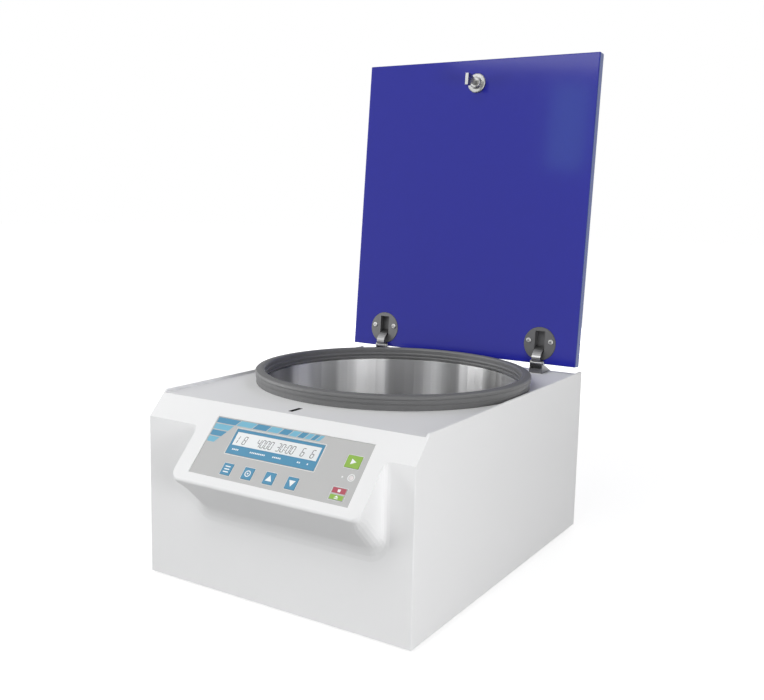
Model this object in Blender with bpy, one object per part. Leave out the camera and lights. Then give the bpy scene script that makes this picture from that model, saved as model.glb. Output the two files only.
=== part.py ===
"""Bench-top blood bank centrifuge with its lid standing open.

Lengths are in metres. X runs to the right of someone facing the keypad, Y to the back and Z up.
Pieces are made in cabinet coordinates, whose origin is on the floor under the middle of the
cabinet. At the end everything hangs from one empty, which moves the origin to the middle of the
whole object's box.
"""

import math

import bmesh
import bpy
from mathutils import Matrix, Vector

# Clearances and cutters
GAP = 0.0003
RUN_GAP = 0.0005
OVERRUN = 0.010
BIG_STEPS = 72
ROUND_STEPS = 28
HIDDEN_STEPS = 24
SMALL_STEPS = 12
SHARP_ANGLE = math.radians(32)

# Cabinet shell: its depth is what the bowl's guard ring takes and the room before and behind that
CABINET_WIDTH = 0.400
ROOM_IN_FRONT = 0.0913
ROOM_BEHIND = 0.0383
FLOOR_GAP = 0.003
SIDE_HEIGHT = 0.242
DECK_RECESS = 0.004
FASCIA_RUN = 0.0295
FASCIA_RISE = 0.031
SHELL_WALL = 0.003
SHELL_EDGE_RADIUS = 0.0012
SHELL_EDGE_STEPS = 2

# Control console, the wedge that stands out of the front wall
CONSOLE_MARGIN = 0.02185
CONSOLE_OFFSET = 0.0013
CONSOLE_REACH = 0.0529
CONSOLE_ROOT_HEIGHT = 0.103
CONSOLE_LIP_RADIUS = 0.004
CONSOLE_CORNER_RADIUS = 0.012
CONSOLE_KEEL_RADIUS = 0.022
CONSOLE_BLEND_RADIUS = 0.008
UNDER_BLEND_SHARE = 1.6
CONSOLE_INNER_LIP = 0.001
CONSOLE_TUCK = 0.012
KEEL_STEPS = 6
KEEL_HEIGHT_SHARE = 0.8
BLEND_SHARES = (0.0, 0.12, 0.35, 0.65, 1.0)
MIDDLE_SHARES = (0.4, 0.7)
CORNER_SHARES = (1.0, 0.6, 0.3, 0.12)
LIP_ANGLES = tuple(math.radians(a) for a in (48, 60, 72, 84))

# Keypad overlay and display, on the console's face: t is measured down the slope
OVERLAY_LEFT_MARGIN = 0.03775
OVERLAY_KEY_COLUMN = 0.06275
OVERLAY_KEY_ROW = 0.0337
OVERLAY_TOP = 0.0253
OVERLAY_THICK = 0.0008
OVERLAY_RECESS = 0.0016
FRAME_WIDTH = 0.131
FRAME_LENGTH = 0.0342
FRAME_SHIFT = 0.0122
FRAME_TOP = 0.0374
SCREEN_MARGIN = 0.003
SCREEN_LENGTH = 0.0180
SCREEN_TOP = 0.0412
SCREEN_DEPTH = 0.0002
MODULE_MARGIN = 0.0020
BOARD_THICK = 0.0016
BOARD_MARGIN = 0.004
CHIP_SIZE = 0.016
CHIP_THICK = 0.003
CHIP_SHARES = (-0.3, 0.05, 0.35)
KEY_PROUD = 0.0004
KEY_THICK = 0.0024
BLUE_KEY_WIDTH = 0.0143
BLUE_KEY_LENGTH = 0.0152
BLUE_KEY_INSET = 0.0149
BLUE_KEY_PITCH = 0.0320
BLUE_KEY_DROP = 0.0204
BLUE_KEY_COUNT = 4
START_KEY_WIDTH = 0.0190
START_KEY_LENGTH = 0.0156
START_KEY_INSET = 0.01755
START_KEY_DROP = 0.0136
STOP_KEY_WIDTH = 0.0190
STOP_KEY_LENGTH = 0.0150
STOP_KEY_INSET = 0.01885
STOP_KEY_DROP = 0.0206
LENS_RADIUS = 0.0030
LENS_INSET = 0.01165
LENS_DROP = 0.0329
LENS_DOME_SHARE = 0.6

# Bowl, its gasket and the guard ring: the gasket nearly reaches the cabinet's sides
GASKET_SIDE_GAP = 0.0036
BOWL_INSET = 0.0164
BOWL_WALL = 0.0012
BOWL_FLANGE = 0.010
BOWL_MOTOR_ROOM = 0.012
BOWL_CORNER = 0.016
BOWL_CORNER_STEPS = 4
BOWL_HOLE_RADIUS = 0.030
DECK_HOLE_MARGIN = 0.0015
GASKET_WIDTH = 0.0135
GASKET_HEIGHT = 0.0194
GASKET_REBATE = 0.0018
GASKET_PROFILE_SHARES = (
    (0.13, 0.00), (0.13, 0.34), (0.24, 0.38), (0.24, 0.42), (0.06, 0.46), (0.06, 0.68),
    (0.13, 0.71), (0.00, 0.75), (0.02, 0.86), (0.12, 0.93), (0.40, 0.97), (0.60, 1.00),
    (0.90, 0.97), (1.00, 0.85),
)
GUARD_GAP = 0.005
GUARD_WALL = 0.003

# Base pan and feet
PAN_THICK = 0.002
PAN_RIM = 0.017
FOOT_RADIUS = 0.015
FOOT_EDGE = 0.0008
FOOT_STEM_RADIUS = 0.004
FOOT_STEM_RISE = 0.006
FOOT_INSET_X = 0.035
FOOT_INSET_Y = 0.040

# Motor and its mount
MOTOR_RADIUS = 0.055
MOTOR_HEIGHT = 0.076
MOTOR_CLEARANCE = 0.007
MOTOR_FLANGE_RADIUS = 0.072
MOTOR_FLANGE_THICK = 0.005
MOTOR_NOSE_RADIUS = 0.020
MOTOR_NOSE_HEIGHT = 0.004
MOTOR_EDGE = 0.004
PLATE_RADIUS = 0.115
PLATE_THICK = 0.004
DAMPER_COUNT = 3
DAMPER_RADIUS = 0.015
DAMPER_HEIGHT = 0.0394
DAMPER_CIRCLE = 0.095
DAMPER_WAIST_SHARES = ((1.0, 0.0), (1.0, 0.12), (0.72, 0.25), (0.72, 0.75), (1.0, 0.88), (1.0, 1.0))
SHAFT_RADIUS = 0.008
SHAFT_BLIND = 0.045
BOOT_FLANGE = 0.006
BOOT_BORE_GAP = 0.002
BOOT_THICK = 0.002

# Swing-out rotor
BUCKET_COUNT = 4
SWING_ROOM = 0.026
FLOOR_ROOM = 0.013
HEAD_ROOM = 0.0315
BUCKET_RADIUS = 0.026
BUCKET_WALL = 0.0015
BUCKET_ABOVE = 0.013
BUCKET_CORNER = 0.004
TRUNNION_RADIUS = 0.003
TRUNNION_REACH = 0.0070
YOKE_THICK = 0.006
YOKE_GAP = 0.0025
YOKE_RISE = 0.010
YOKE_DROP = 0.012
YOKE_TIP = 0.012
WEB_THICK = 0.016
HUB_RADIUS = 0.022
HUB_DROP = 0.020
NUT_RADIUS = 0.014
NUT_HEIGHT = 0.012
NUT_DOME = 0.004
SLEEVE_BORE = 0.016
SLEEVE_FLOOR = 0.004
SLEEVE_DROP = 0.005

# Lid and its hinges: measured from the pin, with the lid upright
LID_SIDE_GAP = 0.001
LID_SETBACK = 0.0093
LID_THICK = 0.016
LID_EDGE_RADIUS = 0.0015
LID_EDGE_STEPS = 2
LID_LEAN = math.radians(4.7)
LID_DROP = 0.0016
PIN_INSET = 0.0315
PIN_OFFSET = 0.0045
HINGE_INSET = 0.0594
CUP_RADIUS = 0.0258
CUP_FLANGE = 0.0018
CUP_SUNK = 0.0014
CUP_RISE = 0.0290
CUP_EDGE = 0.0004
POCKET_WIDTH = 0.0200
POCKET_LENGTH = 0.037
POCKET_DEPTH = 0.0115
POCKET_WALL = 0.002
POCKET_RISE = 0.0320
SCREW_SPREAD = 0.018
SCREW_RISE = 0.0329
SCREW_HEAD_RADIUS = 0.0040
SCREW_HEAD_HEIGHT = 0.0014
SCREW_TOP_SHARE = 0.7
SCREW_SIDE_SHARE = 0.4
SCREW_RADIUS = 0.0018
SCREW_LENGTH = 0.009
PIN_RADIUS = 0.002
PIN_HEAD_RADIUS = 0.003
PIN_HEAD_THICK = 0.001
KNUCKLE_RADIUS = 0.004
KNUCKLE_WIDTH = 0.0160
ARM_WIDTH = 0.0140
ARM_THICK = 0.0024
ARM_STEPS = 10
ARM_BULGE_FORWARD = 0.0080
ARM_BULGE_UP = 0.009
ARM_END_UP = 0.025
CHEEK_THICK = 0.002
CHEEK_BOSS_RADIUS = 0.0040
CHEEK_NECK = 0.0030
BRACKET_LENGTH = 0.034
BRACKET_NOSE = 0.0055
BRACKET_BASE = 0.002
BRACKET_LIP = 0.0070

# Latch on the lid, and the lock under the deck
LATCH_INSET = 0.0382
LATCH_X = 0.0015
LATCH_BASE_RADIUS = 0.015
LATCH_BASE_THICK = 0.0035
LATCH_BOSS_RADIUS = 0.0085
LATCH_BOSS_HEIGHT = 0.009
LATCH_EDGE = 0.0012
POST_RADIUS = 0.004
POST_SUNK = 0.011
HOOK_REACH = 0.037
HOOK_DEPTH = 0.010
HOOK_LENGTH = 0.0175
HOOK_THICK = 0.005
HOOK_WEB = 0.014
HOOK_NECK = 0.0034
SLOT_LENGTH = 0.022
SLOT_WIDTH = 0.0066
LOCK_FRONT = 0.0145
LOCK_BACK = 0.0145
LOCK_LEFT = 0.016
LOCK_RIGHT = 0.030
LOCK_HEIGHT = 0.024
LOCK_FLOOR = 0.005
BOLT_WIDTH = 0.0038
BOLT_HEIGHT = 0.0028
BOLT_LENGTH = 0.022
BOLT_OFFSET = 0.0066
BOLT_TRAVEL = 0.010
BOLT_SETBACK = 0.0012

# Rear panel, power entry and fan
REAR_INSET = 0.006
REAR_THICK = 0.002
REAR_FOOT = 0.001
ENTRY_INSET = 0.050
ENTRY_HEIGHT = 0.075
ENTRY_WIDTH = 0.030
ENTRY_LENGTH = 0.062
ENTRY_FLANGE = 0.003
ENTRY_FLANGE_THICK = 0.0025
ENTRY_DEPTH = 0.024
SOCKET_WIDTH = 0.0240
SOCKET_LENGTH = 0.0165
SOCKET_DEPTH = 0.0170
SOCKET_DROP = 0.0140
ROCKER_WIDTH = 0.0200
ROCKER_LENGTH = 0.0220
ROCKER_RISE = 0.0140
ROCKER_DEPTH = 0.0100
ROCKER_TILT = math.radians(9)
ROCKER_PROUD = 0.0012
FAN_INSET = 0.065
FAN_HEIGHT = 0.110
FAN_SIZE = 0.080
FAN_DEPTH = 0.022
FAN_BORE = 0.037
FAN_HUB = 0.016
FAN_BLADES = 7
FAN_BLADE_THICK = 0.0016
FAN_TIP_GAP = 0.002
FAN_SIDE_GAP = 0.003
FAN_PITCH = math.radians(35)
FAN_STRUT = 0.004
FAN_PLATE = 0.002
FAN_AXLE_RADIUS = 0.003
GRILLE_SLOT = 0.004
GRILLE_PITCH = 0.009
GRILLE_SLOTS = 7
GRILLE_RADIUS = 0.034
VENT_COUNT = 9
VENT_WIDTH = 0.004
VENT_LENGTH = 0.050
VENT_PITCH = 0.010
VENT_X = 0.010
VENT_HEIGHT = 0.110

# Motor driver behind the front wall
DRIVER_WIDTH = 0.240
DRIVER_DEPTH = 0.060
DRIVER_HEIGHT = 0.036
DRIVER_FRONT = 0.012
DRIVER_FINS = 9
FIN_HEIGHT = 0.018
FIN_THICK = 0.003

# Places worked out from the sizes above
HALF_WIDTH = CABINET_WIDTH / 2
GASKET_RADIUS = HALF_WIDTH - GASKET_SIDE_GAP
BOWL_RADIUS = GASKET_RADIUS - BOWL_INSET
GUARD_RADIUS = BOWL_RADIUS + BOWL_WALL + GUARD_GAP + GUARD_WALL
CABINET_DEPTH = ROOM_IN_FRONT + 2 * GUARD_RADIUS + ROOM_BEHIND
FRONT = -CABINET_DEPTH / 2
BACK = CABINET_DEPTH / 2
BOWL_Y = FRONT + ROOM_IN_FRONT + GUARD_RADIUS
PIN_Y = BACK - PIN_INSET
LID_WIDTH = CABINET_WIDTH - 2 * LID_SIDE_GAP
LID_LENGTH = PIN_Y - FRONT - LID_SETBACK
HINGE_SPREAD = LID_WIDTH / 2 - HINGE_INSET
LATCH_RISE = LID_LENGTH - LATCH_INSET
OVERLAY_WIDTH = OVERLAY_LEFT_MARGIN + FRAME_WIDTH + OVERLAY_KEY_COLUMN
OVERLAY_SHIFT = FRAME_SHIFT + (OVERLAY_KEY_COLUMN - OVERLAY_LEFT_MARGIN) / 2
OVERLAY_RIGHT = OVERLAY_SHIFT + OVERLAY_WIDTH / 2
FRAME_LOW = FRAME_TOP + FRAME_LENGTH
OVERLAY_LENGTH = FRAME_LOW + OVERLAY_KEY_ROW - OVERLAY_TOP
BLUE_KEY_MIDDLE = FRAME_LOW + BLUE_KEY_DROP
START_KEY_MIDDLE = FRAME_TOP + START_KEY_DROP
STOP_KEY_MIDDLE = FRAME_LOW + STOP_KEY_DROP
LENS_MIDDLE = FRAME_TOP + LENS_DROP
CONSOLE_WIDTH = OVERLAY_WIDTH + 2 * CONSOLE_MARGIN
CONSOLE_SHIFT = OVERLAY_SHIFT - CONSOLE_OFFSET
SCREEN_WIDTH = FRAME_WIDTH - 2 * SCREEN_MARGIN
BLUE_KEY_FIRST = FRAME_SHIFT - FRAME_WIDTH / 2 + BLUE_KEY_INSET
START_KEY_X = OVERLAY_RIGHT - START_KEY_INSET
STOP_KEY_X = OVERLAY_RIGHT - STOP_KEY_INSET
LENS_X = OVERLAY_RIGHT - LENS_INSET
ENTRY_X = HALF_WIDTH - ENTRY_INSET
FAN_X = FAN_INSET - HALF_WIDTH
SIDE_TOP = FLOOR_GAP + SIDE_HEIGHT
DECK_TOP = SIDE_TOP - DECK_RECESS
DECK_UNDER = DECK_TOP - SHELL_WALL
FASCIA_LOW = SIDE_TOP - FASCIA_RISE
FASCIA_SLOPE = FASCIA_RISE / FASCIA_RUN
FASCIA_ANGLE = math.atan2(FASCIA_RISE, FASCIA_RUN)
CONSOLE_ROOT = FLOOR_GAP + CONSOLE_ROOT_HEIGHT
CONSOLE_TIP = FASCIA_LOW - CONSOLE_REACH * FASCIA_SLOPE
PAN_TOP = FLOOR_GAP + PAN_THICK
INNER_HALF = HALF_WIDTH - SHELL_WALL
GASKET_BASE = DECK_TOP + GAP
GASKET_TOP = GASKET_BASE + GASKET_HEIGHT
PIN_HEIGHT = GASKET_TOP + GAP - PIN_OFFSET
SLOT_Y = PIN_Y - LATCH_RISE
REAR_FACE = BACK - REAR_INSET
REAR_INNER = REAR_FACE - REAR_THICK
PLATE_BOTTOM = PAN_TOP + GAP + DAMPER_HEIGHT + GAP
PLATE_TOP = PLATE_BOTTOM + PLATE_THICK
MOTOR_BOTTOM = PAN_TOP + MOTOR_CLEARANCE
MOTOR_TOP = MOTOR_BOTTOM + MOTOR_HEIGHT
BOWL_FLOOR_HEIGHT = MOTOR_TOP + BOWL_MOTOR_ROOM
YOKE_INNER = BUCKET_RADIUS + YOKE_GAP
YOKE_OUTER = YOKE_INNER + YOKE_THICK
PIVOT_CIRCLE = YOKE_OUTER + BUCKET_RADIUS + HEAD_ROOM
BUCKET_BELOW = BOWL_RADIUS - PIVOT_CIRCLE - SWING_ROOM
PIVOT_HEIGHT = BOWL_FLOOR_HEIGHT + FLOOR_ROOM + BUCKET_BELOW
YOKE_BOTTOM = PIVOT_HEIGHT - YOKE_DROP
YOKE_TOP = PIVOT_HEIGHT + YOKE_RISE
HUB_BOTTOM = YOKE_BOTTOM - HUB_DROP
LID_BACK = LID_LENGTH - LID_DROP


def clear_scene():
    for thing in list(bpy.data.objects):
        bpy.data.objects.remove(thing, do_unlink=True)


def finish(name, colour, roughness, metallic=0.0):
    """A plain painted, moulded or metal finish for one piece."""
    material = bpy.data.materials.new(name)
    material.use_nodes = True
    shader = material.node_tree.nodes["Principled BSDF"]
    shader.inputs["Base Color"].default_value = (*colour, 1.0)
    shader.inputs["Roughness"].default_value = roughness
    shader.inputs["Metallic"].default_value = metallic
    return material


def mesh_object(name, points, faces):
    """A closed mesh whose faces are turned outwards."""
    mesh = bpy.data.meshes.new(name)
    mesh.from_pydata([tuple(p) for p in points], [], faces)
    shape = bmesh.new()
    shape.from_mesh(mesh)
    bmesh.ops.recalc_face_normals(shape, faces=shape.faces)
    shape.to_mesh(mesh)
    shape.free()
    thing = bpy.data.objects.new(name, mesh)
    bpy.context.scene.collection.objects.link(thing)
    return thing


def blocks(name, corners):
    """Separate boxes in one mesh, each from its lowest to its highest corner."""
    points, faces = [], []
    for low, high in corners:
        first = len(points)
        for z in (low[2], high[2]):
            points += [(low[0], low[1], z), (high[0], low[1], z), (high[0], high[1], z),
                       (low[0], high[1], z)]
        quads = ((3, 2, 1, 0), (4, 5, 6, 7), (0, 1, 5, 4), (1, 2, 6, 5), (2, 3, 7, 6), (3, 0, 4, 7))
        faces += [[first + i for i in quad] for quad in quads]
    return mesh_object(name, points, faces)


def block(name, low, high):
    return blocks(name, [(low, high)])


def turned(name, profile, steps):
    """A round piece about Z from (radius, height) points, closed on itself or ending on the axis."""
    points, faces, rings = [], [], []
    for radius, height in profile:
        if radius == 0:
            rings.append([len(points)])
            points.append((0, 0, height))
            continue
        rings.append(list(range(len(points), len(points) + steps)))
        for i in range(steps):
            turn = math.tau * i / steps
            points.append((radius * math.cos(turn), radius * math.sin(turn), height))
    pairs = list(zip(rings, rings[1:]))
    if profile[0][0] > 0:
        pairs.append((rings[-1], rings[0]))
    for low, high in pairs:
        for i in range(steps):
            j = (i + 1) % steps
            corners = (low[i % len(low)], low[j % len(low)], high[j % len(high)], high[i % len(high)])
            faces.append(list(dict.fromkeys(corners)))
    return round_shading(mesh_object(name, points, faces))


def rod(name, radius, low, high, steps=SMALL_STEPS):
    return turned(name, [(0, low), (radius, low), (radius, high), (0, high)], steps)


def prism(name, outline, low, high, plane="YZ"):
    """An outline in the YZ or XY plane, drawn out along the third axis from low to high."""
    count = len(outline)
    if plane == "YZ":
        points = [(d, a, b) for d in (low, high) for a, b in outline]
    else:
        points = [(a, b, d) for d in (low, high) for a, b in outline]
    faces = [list(range(count)), list(range(count, 2 * count))]
    for i in range(count):
        j = (i + 1) % count
        faces.append([i, j, count + j, count + i])
    return mesh_object(name, points, faces)


def loft(name, sections):
    """A skin over sections with equal numbers of points, closed by its two end sections."""
    count = len(sections[0])
    points = [p for section in sections for p in section]
    faces = [list(range(count)), list(range(len(points) - count, len(points)))]
    for s in range(len(sections) - 1):
        for i in range(count):
            j = (i + 1) % count
            faces.append([s * count + i, s * count + j, (s + 1) * count + j, (s + 1) * count + i])
    return mesh_object(name, points, faces)


def round_shading(thing):
    thing.data.shade_smooth()
    thing.data.set_sharp_from_angle(angle=SHARP_ANGLE)
    return thing


def move(thing, matrix):
    thing.data.transform(matrix)
    return thing


def at(x, y, z):
    return Matrix.Translation((x, y, z))


def along_x(thing):
    """Turns a piece made about Z so that it lies along X."""
    return move(thing, Matrix.Rotation(math.pi / 2, 4, "Y"))


def along_y(thing):
    """Turns a piece made about Z so that its top points back, along Y."""
    return move(thing, Matrix.Rotation(-math.pi / 2, 4, "X"))


def combine(thing, tool, operation):
    """Adds the tool to a piece, or cuts it away, and removes the tool."""
    modifier = thing.modifiers.new(operation.lower(), "BOOLEAN")
    modifier.operation = operation
    modifier.object = tool
    graph = bpy.context.evaluated_depsgraph_get()
    result = bpy.data.meshes.new_from_object(thing.evaluated_get(graph))
    thing.modifiers.clear()
    old = thing.data
    thing.data = result
    result.name = thing.name
    bpy.data.meshes.remove(old)
    bpy.data.objects.remove(tool, do_unlink=True)
    return thing


def cut(thing, tool):
    return combine(thing, tool, "DIFFERENCE")


def weld(thing, tool):
    return combine(thing, tool, "UNION")


def soften(thing, chosen, radius, steps):
    """Rounds the edges that the test picks by their two ends."""
    shape = bmesh.new()
    shape.from_mesh(thing.data)
    edges = [e for e in shape.edges if chosen(e.verts[0].co, e.verts[1].co)]
    bmesh.ops.bevel(shape, geom=edges, offset=radius, segments=steps, affect="EDGES", profile=0.5)
    shape.to_mesh(thing.data)
    shape.free()
    return thing


def place(thing, material, parent, point=(0, 0, 0), name=None):
    """Gives a piece its finish, its parent and an origin at the given point of the parent's frame."""
    if name:
        thing.name = name
        thing.data.name = name
    thing.data.materials.clear()
    thing.data.materials.append(material)
    thing.data.transform(Matrix.Translation(-Vector(point)))
    thing.location = point
    thing.parent = parent
    return thing


def empty(name, location, rotation=(0, 0, 0), parent=None):
    marker = bpy.data.objects.new(name, None)
    bpy.context.scene.collection.objects.link(marker)
    marker.location = location
    marker.rotation_euler = rotation
    marker.parent = parent
    return marker


def console_levels(depth, inset, lip):
    """Heights of the console's face and underside at a depth ahead of the front wall."""
    rise = (CONSOLE_TIP - CONSOLE_ROOT) / CONSOLE_REACH
    face_pull = math.hypot(1, FASCIA_SLOPE)
    under_pull = math.hypot(1, rise)
    room = FASCIA_LOW - CONSOLE_ROOT
    middle = (room - (inset + lip) * (face_pull + under_pull)) / (FASCIA_SLOPE + rise)
    centre = FASCIA_LOW - FASCIA_SLOPE * middle - (inset + lip) * face_pull
    top = FASCIA_LOW - FASCIA_SLOPE * depth - inset * face_pull
    bottom = CONSOLE_ROOT + rise * depth + inset * under_pull
    past = min(depth - middle, lip)
    if past > lip * FASCIA_SLOPE / face_pull:
        top = centre + math.sqrt(lip ** 2 - past ** 2)
    if past > lip * rise / under_pull:
        bottom = centre - math.sqrt(lip ** 2 - past ** 2)
    return top, bottom, middle


def console_section(depth, inset, lip, blend, tuck=0.0):
    """One slice of the console parallel to the front wall, with rounded lower corners."""
    top, bottom, middle = console_levels(depth, inset, lip)
    slope_length = math.hypot(1, FASCIA_SLOPE)
    left_over = (middle + lip - depth) * slope_length
    corner = CONSOLE_CORNER_RADIUS - inset
    narrow = 0.0
    if left_over < corner:
        narrow = corner - math.sqrt(max(corner ** 2 - (corner - left_over) ** 2, 0))
    flare = 0.0
    if blend and depth < blend:
        flare = blend - math.sqrt(blend ** 2 - (blend - max(depth, 0)) ** 2)
    half = CONSOLE_WIDTH / 2 - inset - narrow + flare - tuck
    left, right = CONSOLE_SHIFT - half, CONSOLE_SHIFT + half
    top -= tuck
    bottom += tuck - flare * UNDER_BLEND_SHARE
    keel = min(CONSOLE_KEEL_RADIUS - inset + flare, KEEL_HEIGHT_SHARE * (top - bottom))
    y = FRONT - depth
    points = [(left, y, top), (right, y, top)]
    for i in range(KEEL_STEPS + 1):
        turn = math.pi / 2 * i / KEEL_STEPS
        points.append((right - keel + keel * math.cos(turn), y, bottom + keel - keel * math.sin(turn)))
    for i in range(KEEL_STEPS + 1):
        turn = math.pi / 2 * (1 - i / KEEL_STEPS)
        points.append((left + keel - keel * math.cos(turn), y, bottom + keel - keel * math.sin(turn)))
    return points


def console_body(name, inset, lip, blend):
    """The console's wedge, or with an inset the hollow inside it, from inside the front wall to the lip."""
    middle = console_levels(0, inset, lip)[2]
    corner = CONSOLE_CORNER_RADIUS - inset
    slope_length = math.hypot(1, FASCIA_SLOPE)
    depths = [blend * share for share in BLEND_SHARES] if blend else [0.0]
    depths += [middle * share for share in MIDDLE_SHARES]
    corner_depths = [middle + lip - corner * share / slope_length for share in CORNER_SHARES]
    lip_depths = [middle + lip * math.sin(angle) for angle in LIP_ANGLES]
    depths += sorted(corner_depths + lip_depths)
    sections = [console_section(d, inset, lip, blend) for d in depths]
    if blend:
        tucked = console_section(0, inset, lip, blend, CONSOLE_TUCK)
        hidden = [(x, y + CONSOLE_TUCK, z) for x, y, z in tucked]
    else:
        hidden = console_section(-CONSOLE_TUCK, inset, lip, 0)
    return loft(name, [hidden] + sections)


def fascia_matrix():
    """Frame of the sloping face: X to the right, Y up the slope and Z out of it,
    from the face's top edge."""
    return at(0, FRONT + FASCIA_RUN, SIDE_TOP) @ Matrix.Rotation(FASCIA_ANGLE, 4, "X")


def face_block(name, middle_x, width, top, length, out, inwards):
    """A box in the fascia's frame: top and length run down the slope, out and inwards from its face."""
    low = (middle_x - width / 2, -top - length, -inwards)
    high = (middle_x + width / 2, -top, out)
    return block(name, low, high)


def key_list():
    """Every key's name, middle and size on the sloping face."""
    keys = []
    for i in range(BLUE_KEY_COUNT):
        x = BLUE_KEY_FIRST + i * BLUE_KEY_PITCH
        name = ("key_mode", "key_set", "key_up", "key_down")[i]
        keys.append((name, x, BLUE_KEY_MIDDLE, BLUE_KEY_WIDTH, BLUE_KEY_LENGTH))
    keys.append(("key_start", START_KEY_X, START_KEY_MIDDLE, START_KEY_WIDTH, START_KEY_LENGTH))
    keys.append(("key_stop_open", STOP_KEY_X, STOP_KEY_MIDDLE, STOP_KEY_WIDTH, STOP_KEY_LENGTH))
    return keys


def cabinet_shell(parent):
    outline = [(FRONT, FLOOR_GAP), (FRONT, FASCIA_LOW), (FRONT + FASCIA_RUN, SIDE_TOP), (BACK, SIDE_TOP),
               (BACK, FLOOR_GAP)]
    shell = prism("cabinet_shell", outline, -HALF_WIDTH, HALF_WIDTH)

    def side_edge(a, b):
        same_side = abs(a.x - b.x) < GAP
        on_floor = max(a.z, b.z) < FLOOR_GAP + GAP
        at_back = min(a.y, b.y) > BACK - GAP
        return same_side and not on_floor and not at_back

    soften(shell, side_edge, SHELL_EDGE_RADIUS, SHELL_EDGE_STEPS)
    weld(shell, console_body("console", 0, CONSOLE_LIP_RADIUS, CONSOLE_BLEND_RADIUS))
    recess = block("recess", (-INNER_HALF, FRONT - OVERRUN, DECK_TOP),
                   (INNER_HALF, BACK + OVERRUN, SIDE_TOP + OVERRUN))
    cut(shell, recess)
    inner_front = FRONT + SHELL_WALL
    drop = (SHELL_WALL + GAP) * math.hypot(1, FASCIA_SLOPE)
    bend = FASCIA_LOW + SHELL_WALL * FASCIA_SLOPE - drop
    top_y = inner_front + (DECK_UNDER - bend) / FASCIA_SLOPE
    hollow = [(inner_front, FLOOR_GAP - OVERRUN), (inner_front, bend), (top_y, DECK_UNDER),
              (BACK + OVERRUN, DECK_UNDER), (BACK + OVERRUN, FLOOR_GAP - OVERRUN)]
    cut(shell, prism("hollow", hollow, -INNER_HALF, INNER_HALF))
    cut(shell, console_body("console_hollow", SHELL_WALL, CONSOLE_INNER_LIP, 0))
    hole = rod("deck_hole", BOWL_RADIUS + BOWL_WALL + DECK_HOLE_MARGIN, DECK_UNDER - OVERRUN,
               DECK_TOP + OVERRUN, BIG_STEPS)
    cut(shell, move(hole, at(0, BOWL_Y, 0)))
    slot = block("latch_slot", (LATCH_X - SLOT_WIDTH / 2, SLOT_Y - SLOT_LENGTH / 2, DECK_UNDER - OVERRUN),
                 (LATCH_X + SLOT_WIDTH / 2, SLOT_Y + SLOT_LENGTH / 2, DECK_TOP + OVERRUN))
    cut(shell, slot)
    cut(shell, move(face_block("overlay_recess", OVERLAY_SHIFT, OVERLAY_WIDTH + 2 * GAP, OVERLAY_TOP - GAP,
                               OVERLAY_LENGTH + 2 * GAP, OVERRUN, OVERLAY_RECESS), fascia_matrix()))
    openings = []
    for name, x, middle, width, length in key_list():
        openings.append(((x - width / 2 - GAP, -middle - length / 2 - GAP, -SHELL_WALL - OVERRUN / 2),
                         (x + width / 2 + GAP, -middle + length / 2 + GAP, OVERRUN / 2)))
    wide = FRAME_WIDTH - 2 * MODULE_MARGIN + 2 * GAP
    openings.append(((FRAME_SHIFT - wide / 2, -FRAME_TOP - FRAME_LENGTH + MODULE_MARGIN - GAP,
                      -SHELL_WALL - OVERRUN / 2),
                     (FRAME_SHIFT + wide / 2, -FRAME_TOP - MODULE_MARGIN + GAP, OVERRUN / 2)))
    cut(shell, move(blocks("face_openings", openings), fascia_matrix()))
    lens = rod("lens_hole", LENS_RADIUS + GAP, -SHELL_WALL - OVERRUN / 2, OVERRUN / 2)
    cut(shell, move(lens, fascia_matrix() @ at(LENS_X, -LENS_MIDDLE, 0)))
    place(round_shading(shell), finish("shell_paint", (0.80, 0.80, 0.81), 0.38), parent)


def base_pan(parent):
    half = INNER_HALF - GAP
    front, back = FRONT + SHELL_WALL + GAP, REAR_INNER - GAP
    pan = block("base_pan", (-half, front, FLOOR_GAP), (half, back, PAN_TOP + PAN_RIM))
    cut(pan, block("tray", (-half + PAN_THICK, front + PAN_THICK, PAN_TOP),
                   (half - PAN_THICK, back - PAN_THICK, PAN_TOP + PAN_RIM + OVERRUN)))
    for x, y in foot_places():
        hole = rod("foot_hole", FOOT_STEM_RADIUS + GAP, FLOOR_GAP - OVERRUN / 2, PAN_TOP + OVERRUN / 2)
        cut(pan, move(hole, at(x, y, 0)))
    place(pan, finish("pan_steel", (0.55, 0.56, 0.58), 0.45, 1.0), parent)


def foot_places():
    x = HALF_WIDTH - FOOT_INSET_X
    return [(sx * x, sy * (CABINET_DEPTH / 2 - FOOT_INSET_Y)) for sy in (-1, 1) for sx in (-1, 1)]


def feet(parent):
    rubber = finish("foot_rubber", (0.03, 0.03, 0.03), 0.8)
    names = ("foot_front_left", "foot_front_right", "foot_rear_left", "foot_rear_right")
    top = FLOOR_GAP - GAP
    profile = [(0, 0), (FOOT_RADIUS - FOOT_EDGE, 0), (FOOT_RADIUS, FOOT_EDGE), (FOOT_RADIUS, top),
               (FOOT_STEM_RADIUS, top), (FOOT_STEM_RADIUS, PAN_TOP + FOOT_STEM_RISE),
               (0, PAN_TOP + FOOT_STEM_RISE)]
    for name, (x, y) in zip(names, foot_places()):
        foot = move(turned(name, profile, SMALL_STEPS), at(x, y, 0))
        place(foot, rubber, parent, (x, y, 0))


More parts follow.
